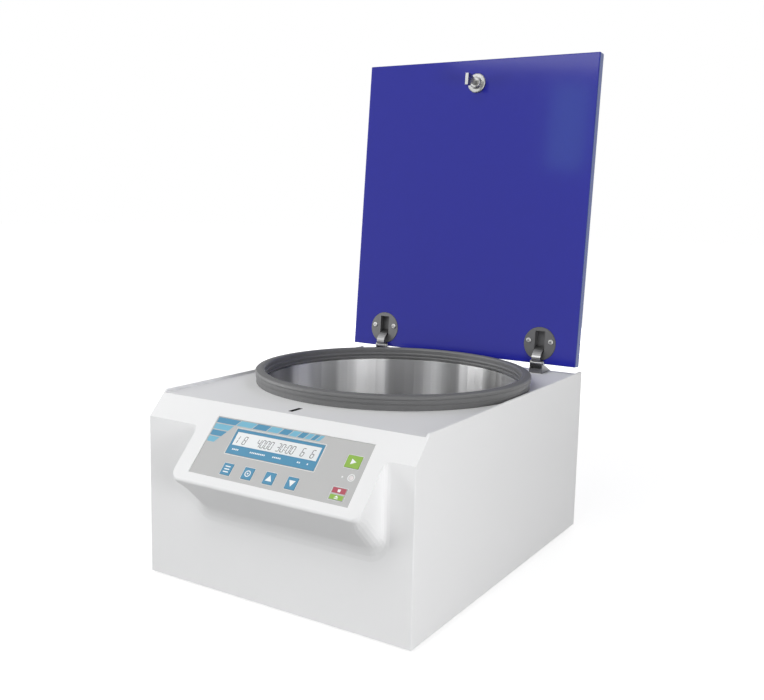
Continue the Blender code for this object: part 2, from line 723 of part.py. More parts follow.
def rear_panel(parent):
    half = INNER_HALF - GAP
    low, high = FLOOR_GAP + REAR_FOOT, DECK_UNDER - GAP
    panel = block("rear_panel", (-half, REAR_INNER, low), (half, REAR_FACE, high))
    front, back = REAR_INNER - OVERRUN, REAR_FACE + OVERRUN
    openings = [((ENTRY_X - ENTRY_WIDTH / 2 - GAP, front, ENTRY_HEIGHT - ENTRY_LENGTH / 2 - GAP),
                 (ENTRY_X + ENTRY_WIDTH / 2 + GAP, back, ENTRY_HEIGHT + ENTRY_LENGTH / 2 + GAP))]
    for i in range(GRILLE_SLOTS):
        x = (i - (GRILLE_SLOTS - 1) / 2) * GRILLE_PITCH
        reach = math.sqrt(GRILLE_RADIUS ** 2 - x ** 2)
        for side in (-1, 1):
            near, far = sorted((side * GRILLE_SLOT / 2, side * reach))
            openings.append(((FAN_X + x - GRILLE_SLOT / 2, front, FAN_HEIGHT + near),
                             (FAN_X + x + GRILLE_SLOT / 2, back, FAN_HEIGHT + far)))
    for i in range(VENT_COUNT):
        x = VENT_X + (i - (VENT_COUNT - 1) / 2) * VENT_PITCH
        openings.append(((x - VENT_WIDTH / 2, front, VENT_HEIGHT - VENT_LENGTH / 2),
                         (x + VENT_WIDTH / 2, back, VENT_HEIGHT + VENT_LENGTH / 2)))
    cut(panel, blocks("openings", openings))
    place(panel, finish("rear_paint", (0.74, 0.74, 0.75), 0.42), parent)


def console_pieces(parent, face):
    """Everything on the sloping face, placed in the frame of that face."""
    overlay = face_block("keypad_overlay", OVERLAY_SHIFT, OVERLAY_WIDTH, OVERLAY_TOP, OVERLAY_LENGTH,
                         GAP + OVERLAY_THICK - OVERLAY_RECESS, OVERLAY_RECESS - GAP)
    openings = []
    for name, x, middle, width, length in key_list():
        openings.append(((x - width / 2 - GAP, -middle - length / 2 - GAP, -OVERRUN),
                         (x + width / 2 + GAP, -middle + length / 2 + GAP, OVERRUN)))
    openings.append(((FRAME_SHIFT - FRAME_WIDTH / 2 - GAP, -FRAME_TOP - FRAME_LENGTH - GAP, -OVERRUN),
                     (FRAME_SHIFT + FRAME_WIDTH / 2 + GAP, -FRAME_TOP + GAP, OVERRUN)))
    cut(overlay, blocks("windows", openings))
    hole = rod("lens_window", LENS_RADIUS + GAP, -OVERRUN, OVERRUN)
    cut(overlay, move(hole, at(LENS_X, -LENS_MIDDLE, 0)))
    place(overlay, finish("overlay_film", (0.50, 0.51, 0.51), 0.45), face)

    top = GAP + OVERLAY_THICK - OVERLAY_RECESS
    frame = face_block("display_frame", FRAME_SHIFT, FRAME_WIDTH, FRAME_TOP, FRAME_LENGTH, top,
                       OVERLAY_RECESS - GAP)
    cut(frame, face_block("screen_window", FRAME_SHIFT, SCREEN_WIDTH + 2 * GAP, SCREEN_TOP - GAP,
                          SCREEN_LENGTH + 2 * GAP, OVERRUN, OVERRUN))
    place(frame, finish("frame_film", (0.07, 0.29, 0.50), 0.4), face)

    module = face_block("display_module", FRAME_SHIFT, FRAME_WIDTH - 2 * MODULE_MARGIN,
                        FRAME_TOP + MODULE_MARGIN,
                        FRAME_LENGTH - 2 * MODULE_MARGIN, -OVERLAY_RECESS, SHELL_WALL)
    weld(module, face_block("screen", FRAME_SHIFT, SCREEN_WIDTH, SCREEN_TOP, SCREEN_LENGTH,
                            top - SCREEN_DEPTH, (OVERLAY_RECESS + SHELL_WALL) / 2))
    place(module, finish("screen_glass", (0.82, 0.85, 0.84), 0.25), face)

    key_colours = {"key_start": (0.28, 0.54, 0.09), "key_stop_open": (0.50, 0.10, 0.14)}
    for name, x, middle, width, length in key_list():
        key = face_block(name, x, width, middle - length / 2, length, top + KEY_PROUD,
                         KEY_THICK - KEY_PROUD - top)
        colour = key_colours.get(name, (0.07, 0.29, 0.50))
        place(key, finish(name + "_film", colour, 0.45), face, (x, -middle, top))

    low = -SHELL_WALL
    dome = top + KEY_PROUD
    profile = [(0, low), (LENS_RADIUS, low), (LENS_RADIUS, top), (LENS_RADIUS * LENS_DOME_SHARE, dome),
               (0, dome)]
    lens = move(turned("status_lens", profile, SMALL_STEPS), at(LENS_X, -LENS_MIDDLE, 0))
    place(lens, finish("lens_plastic", (0.9, 0.9, 0.88), 0.2), face)

    board_top = -SHELL_WALL - GAP
    board = face_block("control_board", OVERLAY_SHIFT, OVERLAY_WIDTH - 2 * BOARD_MARGIN,
                       OVERLAY_TOP + BOARD_MARGIN,
                       OVERLAY_LENGTH - 2 * BOARD_MARGIN, board_top, BOARD_THICK - board_top)
    middle = -OVERLAY_TOP - OVERLAY_LENGTH / 2
    for share in CHIP_SHARES:
        x = OVERLAY_SHIFT + share * OVERLAY_WIDTH
        weld(board,
             block("chip",
                   (x - CHIP_SIZE / 2, middle - CHIP_SIZE / 2, board_top - BOARD_THICK - CHIP_THICK),
                          (x + CHIP_SIZE / 2, middle + CHIP_SIZE / 2, board_top - BOARD_THICK / 2)))
    place(board, finish("board_resin", (0.02, 0.20, 0.08), 0.5), face)


def bowl_pieces(parent):
    centre = at(0, BOWL_Y, 0)
    inner, outer = BOWL_RADIUS, BOWL_RADIUS + BOWL_WALL
    rim = GASKET_BASE + BOWL_WALL
    floor = BOWL_FLOOR_HEIGHT
    profile = [(BOWL_HOLE_RADIUS, floor - BOWL_WALL)]
    for i in range(BOWL_CORNER_STEPS + 1):
        turn = math.pi / 2 * i / BOWL_CORNER_STEPS
        radius = BOWL_CORNER + BOWL_WALL
        profile.append((inner - BOWL_CORNER + radius * math.sin(turn),
                        floor + BOWL_CORNER - radius * math.cos(turn)))
    profile += [(outer, GASKET_BASE), (outer + BOWL_FLANGE, GASKET_BASE), (outer + BOWL_FLANGE, rim),
                (inner, rim)]
    for i in range(BOWL_CORNER_STEPS + 1):
        turn = math.pi / 2 * (1 - i / BOWL_CORNER_STEPS)
        profile.append((inner - BOWL_CORNER + BOWL_CORNER * math.sin(turn),
                        floor + BOWL_CORNER * (1 - math.cos(turn))))
    profile.append((BOWL_HOLE_RADIUS, floor))
    bowl = move(turned("bowl", profile, BIG_STEPS), centre)
    place(bowl, finish("bowl_steel", (0.62, 0.62, 0.63), 0.28, 1.0), parent)

    profile = [(GASKET_RADIUS - GASKET_WIDTH * across, GASKET_BASE + GASKET_HEIGHT * up)
               for across, up in GASKET_PROFILE_SHARES]
    inside = GASKET_RADIUS - GASKET_WIDTH
    profile += [(inside, GASKET_BASE + GASKET_REBATE),
                (outer + BOWL_FLANGE + GAP, GASKET_BASE + GASKET_REBATE),
                (outer + BOWL_FLANGE + GAP, GASKET_BASE)]
    gasket = move(turned("bowl_gasket", profile, BIG_STEPS), centre)
    place(gasket, finish("gasket_rubber", (0.11, 0.11, 0.12), 0.55), parent)

    near = outer + GUARD_GAP
    low, high = PAN_TOP + GAP, DECK_UNDER - GAP
    guard = turned("guard_ring",
                   [(near, low), (near + GUARD_WALL, low), (near + GUARD_WALL, high), (near, high)],
                   BIG_STEPS // 2)
    place(move(guard, centre), finish("guard_steel", (0.45, 0.46, 0.48), 0.4, 1.0), parent)

    bore = SHAFT_RADIUS + BOOT_BORE_GAP
    neck, flange = BOWL_HOLE_RADIUS - GAP, BOWL_HOLE_RADIUS + BOOT_FLANGE
    under, over = floor - BOWL_WALL - GAP, floor + GAP
    profile = [(bore, under - BOOT_THICK), (flange, under - BOOT_THICK), (flange, under), (neck, under),
               (neck, over), (flange, over), (flange, over + BOOT_THICK), (bore, over + 2 * BOOT_THICK)]
    boot = move(turned("shaft_boot", profile, ROUND_STEPS), centre)
    place(boot, finish("boot_rubber", (0.04, 0.04, 0.045), 0.7), parent)


def drive_pieces(parent):
    centre = at(0, BOWL_Y, 0)
    low, high = MOTOR_BOTTOM, MOTOR_TOP
    lip = PLATE_TOP + GAP
    floor = high + MOTOR_NOSE_HEIGHT - SHAFT_BLIND
    bore = SHAFT_RADIUS + GAP
    profile = [(0, low), (MOTOR_RADIUS - MOTOR_EDGE, low), (MOTOR_RADIUS, low + MOTOR_EDGE),
               (MOTOR_RADIUS, lip),
               (MOTOR_FLANGE_RADIUS, lip), (MOTOR_FLANGE_RADIUS, lip + MOTOR_FLANGE_THICK),
               (MOTOR_RADIUS, lip + MOTOR_FLANGE_THICK), (MOTOR_RADIUS, high - MOTOR_EDGE),
               (MOTOR_RADIUS - MOTOR_EDGE, high), (MOTOR_NOSE_RADIUS, high),
               (MOTOR_NOSE_RADIUS, high + MOTOR_NOSE_HEIGHT), (bore, high + MOTOR_NOSE_HEIGHT),
               (bore, floor), (0, floor)]
    motor = move(turned("motor_body", profile, HIDDEN_STEPS), centre)
    place(motor, finish("motor_aluminium", (0.60, 0.61, 0.62), 0.4, 1.0), parent)

    hole = MOTOR_RADIUS + GAP
    plate = turned("motor_plate",
                   [(hole, PLATE_BOTTOM), (PLATE_RADIUS, PLATE_BOTTOM), (PLATE_RADIUS, PLATE_TOP),
                                   (hole, PLATE_TOP)], HIDDEN_STEPS)
    place(move(plate, centre), finish("plate_steel", (0.50, 0.51, 0.53), 0.45, 1.0), parent)

    rubber = finish("damper_rubber", (0.05, 0.05, 0.05), 0.75)
    base = PAN_TOP + GAP
    profile = [(0, base)]
    profile += [(DAMPER_RADIUS * across, base + DAMPER_HEIGHT * up) for across, up in DAMPER_WAIST_SHARES]
    profile.append((0, base + DAMPER_HEIGHT))
    for i in range(DAMPER_COUNT):
        turn = math.tau * i / DAMPER_COUNT + math.pi / 2
        x, y = DAMPER_CIRCLE * math.cos(turn), BOWL_Y + DAMPER_CIRCLE * math.sin(turn)
        damper = move(turned(f"damper_{i + 1}", profile, SMALL_STEPS), at(x, y, 0))
        place(damper, rubber, parent, (x, y, base))

    width, fins = DRIVER_WIDTH, DRIVER_FINS
    front = FRONT + SHELL_WALL + DRIVER_FRONT
    base = PAN_TOP + GAP
    driver = block("motor_driver", (-width / 2, front, base),
                   (width / 2, front + DRIVER_DEPTH, base + DRIVER_HEIGHT))
    pitch = (width - FIN_THICK) / (fins - 1)
    for i in range(fins):
        x = -width / 2 + i * pitch
        weld(driver, block("fin", (x, front, base + DRIVER_HEIGHT - FIN_THICK),
                           (x + FIN_THICK, front + DRIVER_DEPTH, base + DRIVER_HEIGHT + FIN_HEIGHT)))
    place(driver, finish("driver_aluminium", (0.30, 0.31, 0.33), 0.45, 1.0), parent)


def rotor_pieces(parent):
    centre = at(0, BOWL_Y, 0)
    axis = (0, BOWL_Y, PIVOT_HEIGHT)
    bore = SHAFT_RADIUS + GAP
    shaft_low = MOTOR_TOP + MOTOR_NOSE_HEIGHT - SHAFT_BLIND + GAP
    shaft = move(rod("motor_shaft", SHAFT_RADIUS, shaft_low, YOKE_TOP, SMALL_STEPS), centre)
    place(shaft, finish("shaft_steel", (0.70, 0.70, 0.71), 0.25, 1.0), parent, axis)

    reach = PIVOT_CIRCLE + YOKE_TIP
    plates = []
    for side in (-1, 1):
        near, far = sorted((side * YOKE_INNER, side * YOKE_OUTER))
        plates.append(((-reach, near, YOKE_BOTTOM), (reach, far, YOKE_TOP)))
    yoke = blocks("rotor_head", plates)
    for side in (-1, 1):
        near, far = sorted((side * YOKE_INNER, side * YOKE_OUTER))
        weld(yoke, block("plate", (near, -reach, YOKE_BOTTOM), (far, reach, YOKE_TOP)))
    overlap = (YOKE_INNER + YOKE_OUTER) / 2
    web_low = YOKE_BOTTOM + (YOKE_TOP - YOKE_BOTTOM - WEB_THICK) / 2
    weld(yoke, block("web", (-overlap, -overlap, web_low), (overlap, overlap, web_low + WEB_THICK)))
    weld(yoke, rod("hub", HUB_RADIUS, HUB_BOTTOM, YOKE_TOP - GAP, ROUND_STEPS))
    cut(yoke, rod("bore", bore, HUB_BOTTOM - OVERRUN, YOKE_TOP + OVERRUN, SMALL_STEPS))
    notch_radius = TRUNNION_RADIUS + GAP
    for i in range(BUCKET_COUNT // 2):
        notch = along_y(rod("notch", notch_radius, -reach, reach, SMALL_STEPS))
        for side in (-1, 1):
            turn = Matrix.Rotation(math.pi / 2 * i, 4, "Z")
            hole = notch.copy()
            hole.data = notch.data.copy()
            bpy.context.scene.collection.objects.link(hole)
            cut(yoke, move(hole, turn @ at(side * PIVOT_CIRCLE, 0, PIVOT_HEIGHT)))
            mouth = block("mouth", (-notch_radius, -reach, 0), (notch_radius, reach, YOKE_RISE + OVERRUN))
            cut(yoke, move(mouth, turn @ at(side * PIVOT_CIRCLE, 0, PIVOT_HEIGHT)))
        bpy.data.objects.remove(notch, do_unlink=True)
    place(round_shading(move(yoke, centre)), finish("yoke_aluminium", (0.58, 0.59, 0.61), 0.35, 1.0),
          parent, axis)

    low = YOKE_TOP + GAP
    profile = [(0, low), (NUT_RADIUS, low), (NUT_RADIUS, low + NUT_HEIGHT),
               (NUT_RADIUS - NUT_DOME, low + NUT_HEIGHT + NUT_DOME),
               (0, low + NUT_HEIGHT + NUT_DOME)]
    nut = move(turned("rotor_nut", profile, SMALL_STEPS), centre)
    place(nut, finish("nut_steel", (0.66, 0.66, 0.68), 0.3, 1.0), parent, axis)

    bucket_finish = finish("bucket_steel", (0.66, 0.67, 0.68), 0.3, 1.0)
    sleeve_finish = finish("sleeve_plastic", (0.06, 0.16, 0.40), 0.5)
    inner = BUCKET_RADIUS - BUCKET_WALL
    bottom = -BUCKET_BELOW
    bucket_profile = [(0, bottom), (BUCKET_RADIUS - BUCKET_CORNER, bottom),
                      (BUCKET_RADIUS, bottom + BUCKET_CORNER),
                      (BUCKET_RADIUS, BUCKET_ABOVE), (inner, BUCKET_ABOVE), (inner, bottom + BUCKET_CORNER),
                      (inner - BUCKET_CORNER, bottom + BUCKET_WALL), (0, bottom + BUCKET_WALL)]
    seat = bottom + BUCKET_WALL + GAP
    outside = inner - GAP
    sleeve_top = BUCKET_ABOVE - SLEEVE_DROP
    sleeve_profile = [(0, seat), (outside - BUCKET_CORNER, seat), (outside, seat + BUCKET_CORNER),
                      (outside, sleeve_top), (SLEEVE_BORE, sleeve_top), (SLEEVE_BORE, seat + SLEEVE_FLOOR),
                      (0, seat + SLEEVE_FLOOR)]
    for i in range(BUCKET_COUNT):
        turn = math.tau * i / BUCKET_COUNT
        spot = (PIVOT_CIRCLE * math.cos(turn), BOWL_Y + PIVOT_CIRCLE * math.sin(turn), PIVOT_HEIGHT)
        swing = empty(f"bucket_axis_{i + 1}", spot, (0, 0, turn), parent)
        bucket = turned(f"bucket_{i + 1}", bucket_profile, ROUND_STEPS)
        for side in (-1, 1):
            near, far = sorted((side * (BUCKET_RADIUS - BUCKET_WALL / 2),
                                side * (BUCKET_RADIUS + TRUNNION_REACH)))
            weld(bucket, along_y(rod("trunnion", TRUNNION_RADIUS, near, far, SMALL_STEPS)))
        place(round_shading(bucket), bucket_finish, swing)
        place(turned(f"tube_sleeve_{i + 1}", sleeve_profile, ROUND_STEPS), sleeve_finish, swing)


def lid_panel(axis):
    low, high = -LID_DROP, LID_BACK
    half = LID_WIDTH / 2
    panel = block("lid_panel", (-half, PIN_OFFSET, low), (half, PIN_OFFSET + LID_THICK, high))
    soften(panel, lambda a, b: True, LID_EDGE_RADIUS, LID_EDGE_STEPS)
    face = PIN_OFFSET
    for side in (-1, 1):
        x = side * HINGE_SPREAD
        seat = along_y(rod("seat", CUP_RADIUS + GAP, face - OVERRUN, face + CUP_SUNK, ROUND_STEPS))
        cut(panel, move(seat, at(x, 0, CUP_RISE)))
        deep = face + POCKET_DEPTH + GAP
        cut(panel,
            block("pocket",
                  (x - POCKET_WIDTH / 2 - GAP, face - OVERRUN, POCKET_RISE - POCKET_LENGTH / 2 - GAP),
                         (x + POCKET_WIDTH / 2 + GAP, deep, POCKET_RISE + POCKET_LENGTH / 2 + GAP)))
        for hand in (-1, 1):
            hole = along_y(rod("screw_hole", SCREW_RADIUS + GAP, face - OVERRUN, face + SCREW_LENGTH + GAP))
            cut(panel, move(hole, at(x + hand * SCREW_SPREAD, 0, SCREW_RISE)))
    hole = along_y(rod("post_hole", POST_RADIUS + GAP, face - OVERRUN, face + POST_SUNK + GAP))
    cut(panel, move(hole, at(LATCH_X, 0, LATCH_RISE)))
    place(round_shading(panel), finish("lid_gloss_blue", (0.030, 0.035, 0.32), 0.12), axis)


def arm_outline():
    """The hinge arm's side view: a bent strip from the knuckle into the pocket, in (y, z)."""
    start = Vector((0, 0))
    bend = Vector((-ARM_BULGE_FORWARD * 2, ARM_BULGE_UP))
    end = Vector((PIN_OFFSET + POCKET_DEPTH - POCKET_WALL - GAP - ARM_THICK / 2, ARM_END_UP))
    near, far = [], []
    for i in range(ARM_STEPS + 1):
        s = i / ARM_STEPS
        point = start * (1 - s) ** 2 + bend * (2 * s * (1 - s)) + end * s ** 2
        slope = ((bend - start) * (1 - s) + (end - bend) * s).normalized()
        side = Vector((-slope.y, slope.x)) * ARM_THICK / 2
        near.append(tuple(point + side))
        far.append(tuple(point - side))
    return near + far[::-1]


def hinges(parent, axis):
    face = PIN_OFFSET
    proud = CUP_FLANGE - CUP_SUNK + GAP
    cup_finish = finish("cup_steel", (0.11, 0.11, 0.12), 0.45, 0.6)
    screw_finish = finish("screw_steel", (0.62, 0.62, 0.64), 0.3, 1.0)
    arm_finish = finish("arm_steel", (0.34, 0.34, 0.35), 0.38, 1.0)
    bracket_finish = finish("bracket_steel", (0.36, 0.36, 0.38), 0.42, 1.0)
    pin_finish = finish("pin_steel", (0.55, 0.55, 0.56), 0.3, 1.0)
    outer_face = face - proud
    inner_face = outer_face + CUP_FLANGE
    for word, side in (("left", -1), ("right", 1)):
        x = side * HINGE_SPREAD
        profile = [(0, outer_face), (CUP_RADIUS - CUP_EDGE, outer_face),
                   (CUP_RADIUS, outer_face + CUP_EDGE),
                   (CUP_RADIUS, inner_face), (0, inner_face)]
        cup = move(along_y(turned(f"hinge_cup_{word}", profile, ROUND_STEPS)), at(x, 0, CUP_RISE))
        low, high = POCKET_RISE - POCKET_LENGTH / 2, POCKET_RISE + POCKET_LENGTH / 2
        wall = POCKET_WALL
        weld(cup, block("housing", (x - POCKET_WIDTH / 2, (outer_face + inner_face) / 2, low),
                        (x + POCKET_WIDTH / 2, face + POCKET_DEPTH, high)))
        cut(cup, block("slot", (x - POCKET_WIDTH / 2 + wall, outer_face - OVERRUN, low + wall),
                       (x + POCKET_WIDTH / 2 - wall, face + POCKET_DEPTH - wall, high - wall)))
        screw_profile = [(0, outer_face - GAP - SCREW_HEAD_HEIGHT),
                         (SCREW_HEAD_RADIUS * SCREW_TOP_SHARE, outer_face - GAP - SCREW_HEAD_HEIGHT),
                         (SCREW_HEAD_RADIUS, outer_face - GAP - SCREW_HEAD_HEIGHT * SCREW_SIDE_SHARE),
                         (SCREW_HEAD_RADIUS, outer_face - GAP), (SCREW_RADIUS, outer_face - GAP),
                         (SCREW_RADIUS, face + SCREW_LENGTH), (0, face + SCREW_LENGTH)]
        for hand, spot in ((-1, "a"), (1, "b")):
            sx = x + hand * SCREW_SPREAD
            hole = along_y(rod("screw_hole", SCREW_RADIUS + GAP, outer_face - OVERRUN,
                               inner_face + OVERRUN))
            cut(cup, move(hole, at(sx, 0, SCREW_RISE)))
            screw = along_y(turned(f"hinge_screw_{word}_{spot}", screw_profile, SMALL_STEPS))
            place(move(screw, at(sx, 0, SCREW_RISE)), screw_finish, axis, (sx, 0, SCREW_RISE))
        place(round_shading(cup), cup_finish, axis)

        arm = prism(f"hinge_arm_{word}", arm_outline(), x - ARM_WIDTH / 2, x + ARM_WIDTH / 2)
        knuckle = along_x(rod("knuckle", KNUCKLE_RADIUS, -KNUCKLE_WIDTH / 2, KNUCKLE_WIDTH / 2,
                              SMALL_STEPS))
        weld(arm, move(knuckle, at(x, 0, 0)))
        bore = along_x(rod("bore", PIN_RADIUS + GAP, -KNUCKLE_WIDTH, KNUCKLE_WIDTH, SMALL_STEPS))
        cut(arm, move(bore, at(x, 0, 0)))
        place(round_shading(arm), arm_finish, axis, (x, 0, 0))

        inner = KNUCKLE_WIDTH / 2 + GAP
        outer = inner + CHEEK_THICK
        base = DECK_TOP + GAP
        front, back = PIN_Y - BRACKET_NOSE, PIN_Y - BRACKET_NOSE + BRACKET_LENGTH
        bracket = block(f"hinge_bracket_{word}", (x - outer, front, base),
                        (x + outer, back, base + BRACKET_BASE))
        weld(bracket, block("lip", (x - outer, front, base + BRACKET_BASE / 2),
                            (x + outer, front + CHEEK_THICK, base + BRACKET_LIP)))
        for hand in (-1, 1):
            near, far = sorted((x + hand * inner, x + hand * outer))
            weld(bracket, prism("cheek", cheek_outline(base, back), near, far))
        hole = along_x(rod("pin_hole", PIN_RADIUS + GAP, -outer - OVERRUN, outer + OVERRUN, SMALL_STEPS))
        cut(bracket, move(hole, at(x, PIN_Y, PIN_HEIGHT)))
        place(round_shading(bracket), bracket_finish, parent)

        head = outer + GAP
        profile = [(0, -head), (PIN_RADIUS, -head), (PIN_RADIUS, head), (PIN_HEAD_RADIUS, head),
                   (PIN_HEAD_RADIUS, head + PIN_HEAD_THICK), (0, head + PIN_HEAD_THICK)]
        pin = along_x(turned(f"hinge_pin_{word}", profile, SMALL_STEPS))
        place(move(pin, at(x, PIN_Y, PIN_HEIGHT)), pin_finish, parent, (x, PIN_Y, PIN_HEIGHT))


def cheek_outline(base, back):
    """Side view of a bracket cheek: a round head on the pin, then a slope down to the back of the foot."""
    low = base + BRACKET_BASE / 2
    outline = [(back, low), (PIN_Y - CHEEK_BOSS_RADIUS, low)]
    steps = SMALL_STEPS // 2
    for i in range(steps + 1):
        turn = math.pi * (1 - i / steps)
        outline.append((PIN_Y + CHEEK_BOSS_RADIUS * math.cos(turn),
                        PIN_HEIGHT + CHEEK_BOSS_RADIUS * math.sin(turn)))
    outline.append((PIN_Y + CHEEK_BOSS_RADIUS, PIN_HEIGHT - CHEEK_NECK))
    return outline


def latch_pieces(parent, axis):
    face = PIN_OFFSET
    mid = LATCH_X
    chrome = finish("latch_chrome", (0.70, 0.70, 0.70), 0.15, 1.0)
    near = face - GAP
    thick, boss = near - LATCH_BASE_THICK, near - LATCH_BOSS_HEIGHT
    bore = POST_RADIUS + GAP
    profile = [(bore, near), (LATCH_BASE_RADIUS, near), (LATCH_BASE_RADIUS, thick + LATCH_EDGE),
               (LATCH_BASE_RADIUS - LATCH_EDGE, thick), (LATCH_BOSS_RADIUS + LATCH_EDGE, thick),
               (LATCH_BOSS_RADIUS, boss + LATCH_EDGE), (LATCH_BOSS_RADIUS - LATCH_EDGE, boss), (bore, boss)]
    base = move(along_y(turned("latch_base", profile, ROUND_STEPS)), at(mid, 0, LATCH_RISE))
    place(base, chrome, axis, (mid, 0, LATCH_RISE))

    tip = face - HOOK_REACH
    half = HOOK_LENGTH / 2
    shoulder, neck = tip + HOOK_DEPTH, tip + HOOK_DEPTH + HOOK_WEB
    hook = along_y(rod("latch_hook", POST_RADIUS, neck - HOOK_NECK, face + POST_SUNK, SMALL_STEPS))
    side = [(tip, -half), (shoulder, -half), (shoulder, -HOOK_NECK), (neck, -HOOK_NECK), (neck, HOOK_NECK),
            (shoulder, half), (tip, half)]
    weld(hook, prism("blade", side, -HOOK_THICK / 2, HOOK_THICK / 2))
    move(hook, at(mid, 0, LATCH_RISE))
    place(round_shading(hook), finish("hook_chrome", (0.70, 0.70, 0.70), 0.18, 1.0), axis,
          (mid, 0, LATCH_RISE))

    top = DECK_UNDER - GAP
    body = block("lock_body", (mid - LOCK_LEFT, SLOT_Y - LOCK_FRONT, top - LOCK_HEIGHT),
                 (mid + LOCK_RIGHT, SLOT_Y + LOCK_BACK, top))
    cut(body,
        block("well", (mid - SLOT_WIDTH / 2, SLOT_Y - SLOT_LENGTH / 2, top - LOCK_HEIGHT + LOCK_FLOOR),
                    (mid + SLOT_WIDTH / 2, SLOT_Y + SLOT_LENGTH / 2, top + OVERRUN)))
    bolt_y = SLOT_Y + BOLT_OFFSET
    bolt_top = top - GAP
    bolt_low = bolt_top - BOLT_HEIGHT
    cut(body,
        block("channel",
              (mid - SLOT_WIDTH / 2 - BOLT_TRAVEL / 2, bolt_y - BOLT_WIDTH / 2 - GAP, bolt_low - GAP),
                    (mid + LOCK_RIGHT + OVERRUN, bolt_y + BOLT_WIDTH / 2 + GAP, top + OVERRUN)))
    place(body, finish("lock_plastic", (0.05, 0.05, 0.055), 0.6), parent)
    tip_x = mid + SLOT_WIDTH / 2 + BOLT_SETBACK
    bolt = block("lock_bolt", (tip_x, bolt_y - BOLT_WIDTH / 2, bolt_low),
                 (tip_x + BOLT_LENGTH, bolt_y + BOLT_WIDTH / 2, bolt_top))
    place(bolt, finish("bolt_steel", (0.60, 0.60, 0.62), 0.35, 1.0), parent,
          (tip_x, bolt_y, (bolt_low + bolt_top) / 2))


def power_pieces(parent):
    inside = REAR_FACE - ENTRY_DEPTH
    outside = REAR_FACE + GAP + ENTRY_FLANGE_THICK
    half_x, half_z = ENTRY_WIDTH / 2, ENTRY_LENGTH / 2
    entry = block("power_inlet", (ENTRY_X - half_x, inside, ENTRY_HEIGHT - half_z),
                  (ENTRY_X + half_x, REAR_FACE + GAP + ENTRY_FLANGE_THICK / 2, ENTRY_HEIGHT + half_z))
    weld(entry,
         block("flange",
               (ENTRY_X - half_x - ENTRY_FLANGE, REAR_FACE + GAP, ENTRY_HEIGHT - half_z - ENTRY_FLANGE),
                      (ENTRY_X + half_x + ENTRY_FLANGE, outside, ENTRY_HEIGHT + half_z + ENTRY_FLANGE)))
    socket_z = ENTRY_HEIGHT - SOCKET_DROP
    cut(entry,
        block("socket", (ENTRY_X - SOCKET_WIDTH / 2, outside - SOCKET_DEPTH, socket_z - SOCKET_LENGTH / 2),
                     (ENTRY_X + SOCKET_WIDTH / 2, outside + OVERRUN, socket_z + SOCKET_LENGTH / 2)))
    rocker_z = ENTRY_HEIGHT + ROCKER_RISE
    reach = ROCKER_LENGTH / 2
    pivot_y = outside - ROCKER_DEPTH / 2
    cut(entry,
        block("aperture",
              (ENTRY_X - ROCKER_WIDTH / 2 - RUN_GAP, outside - ROCKER_DEPTH - ROCKER_PROUD,
               rocker_z - reach - RUN_GAP),
                     (ENTRY_X + ROCKER_WIDTH / 2 + RUN_GAP, outside + OVERRUN, rocker_z + reach + RUN_GAP)))
    place(entry, finish("inlet_plastic", (0.02, 0.02, 0.022), 0.5), parent)

    drop = math.tan(ROCKER_TILT) * reach
    front = ROCKER_DEPTH / 2 - ROCKER_PROUD
    end = reach - 2 * RUN_GAP
    outline = [(front, 0), (front + ROCKER_PROUD, end), (-front + drop, end), (-front, 0),
               (-front + drop, -end),
               (front - drop, -end)]
    rocker = prism("power_rocker", outline, -ROCKER_WIDTH / 2, ROCKER_WIDTH / 2)
    place(move(rocker, at(ENTRY_X, pivot_y, rocker_z)), finish("rocker_plastic", (0.03, 0.03, 0.03), 0.4),
          parent,
          (ENTRY_X, pivot_y, rocker_z))


def fan_pieces(parent):
    half = FAN_SIZE / 2
    back = REAR_INNER - GAP
    front = back - FAN_DEPTH
    middle = at(FAN_X, 0, FAN_HEIGHT)
    frame = move(block("fan_frame", (-half, front, -half), (half, back, half)), middle)
    cut(frame, move(along_y(rod("bore", FAN_BORE, front - OVERRUN, back + OVERRUN, ROUND_STEPS)), middle))
    strut_back = front + FAN_PLATE
    overlap = FAN_BORE + (half - FAN_BORE) / 2
    weld(frame,
         move(block("strut", (-overlap, front, -FAN_STRUT / 2), (overlap, strut_back, FAN_STRUT / 2)),
              middle))
    weld(frame,
         move(block("strut", (-FAN_STRUT / 2, front, -overlap), (FAN_STRUT / 2, strut_back, overlap)),
              middle))
    weld(frame, move(along_y(rod("seat", FAN_HUB, front + GAP, strut_back + GAP, ROUND_STEPS)), middle))
    axle_end = back - FAN_SIDE_GAP
    weld(frame, move(along_y(rod("axle", FAN_AXLE_RADIUS, front + GAP, axle_end, SMALL_STEPS)), middle))
    place(round_shading(frame), finish("fan_plastic", (0.03, 0.03, 0.032), 0.5), parent)

    low, high = strut_back + RUN_GAP + GAP, back - FAN_SIDE_GAP + FAN_PLATE
    rotor = along_y(rod("fan_rotor", FAN_HUB, low, high, ROUND_STEPS))
    cut(rotor, along_y(rod("socket", FAN_AXLE_RADIUS + GAP, low - OVERRUN, axle_end + GAP, SMALL_STEPS)))
    deep = high - low - 2 * FAN_SIDE_GAP
    reach = FAN_BORE - FAN_TIP_GAP
    root = (FAN_HUB + FAN_AXLE_RADIUS) / 2
    for i in range(FAN_BLADES):
        blade = block("blade", (-FAN_BLADE_THICK / 2, -deep / 2, root),
                      (FAN_BLADE_THICK / 2, deep / 2, reach))
        twist = Matrix.Rotation(FAN_PITCH, 4, "Z")
        turn = Matrix.Rotation(math.tau * i / FAN_BLADES, 4, "Y")
        weld(rotor, move(blade, at(0, (low + high) / 2, 0) @ turn @ twist))
    place(round_shading(move(rotor, middle)), finish("fan_blade_plastic", (0.04, 0.04, 0.042), 0.5), parent,
          (FAN_X, (low + high) / 2, FAN_HEIGHT))


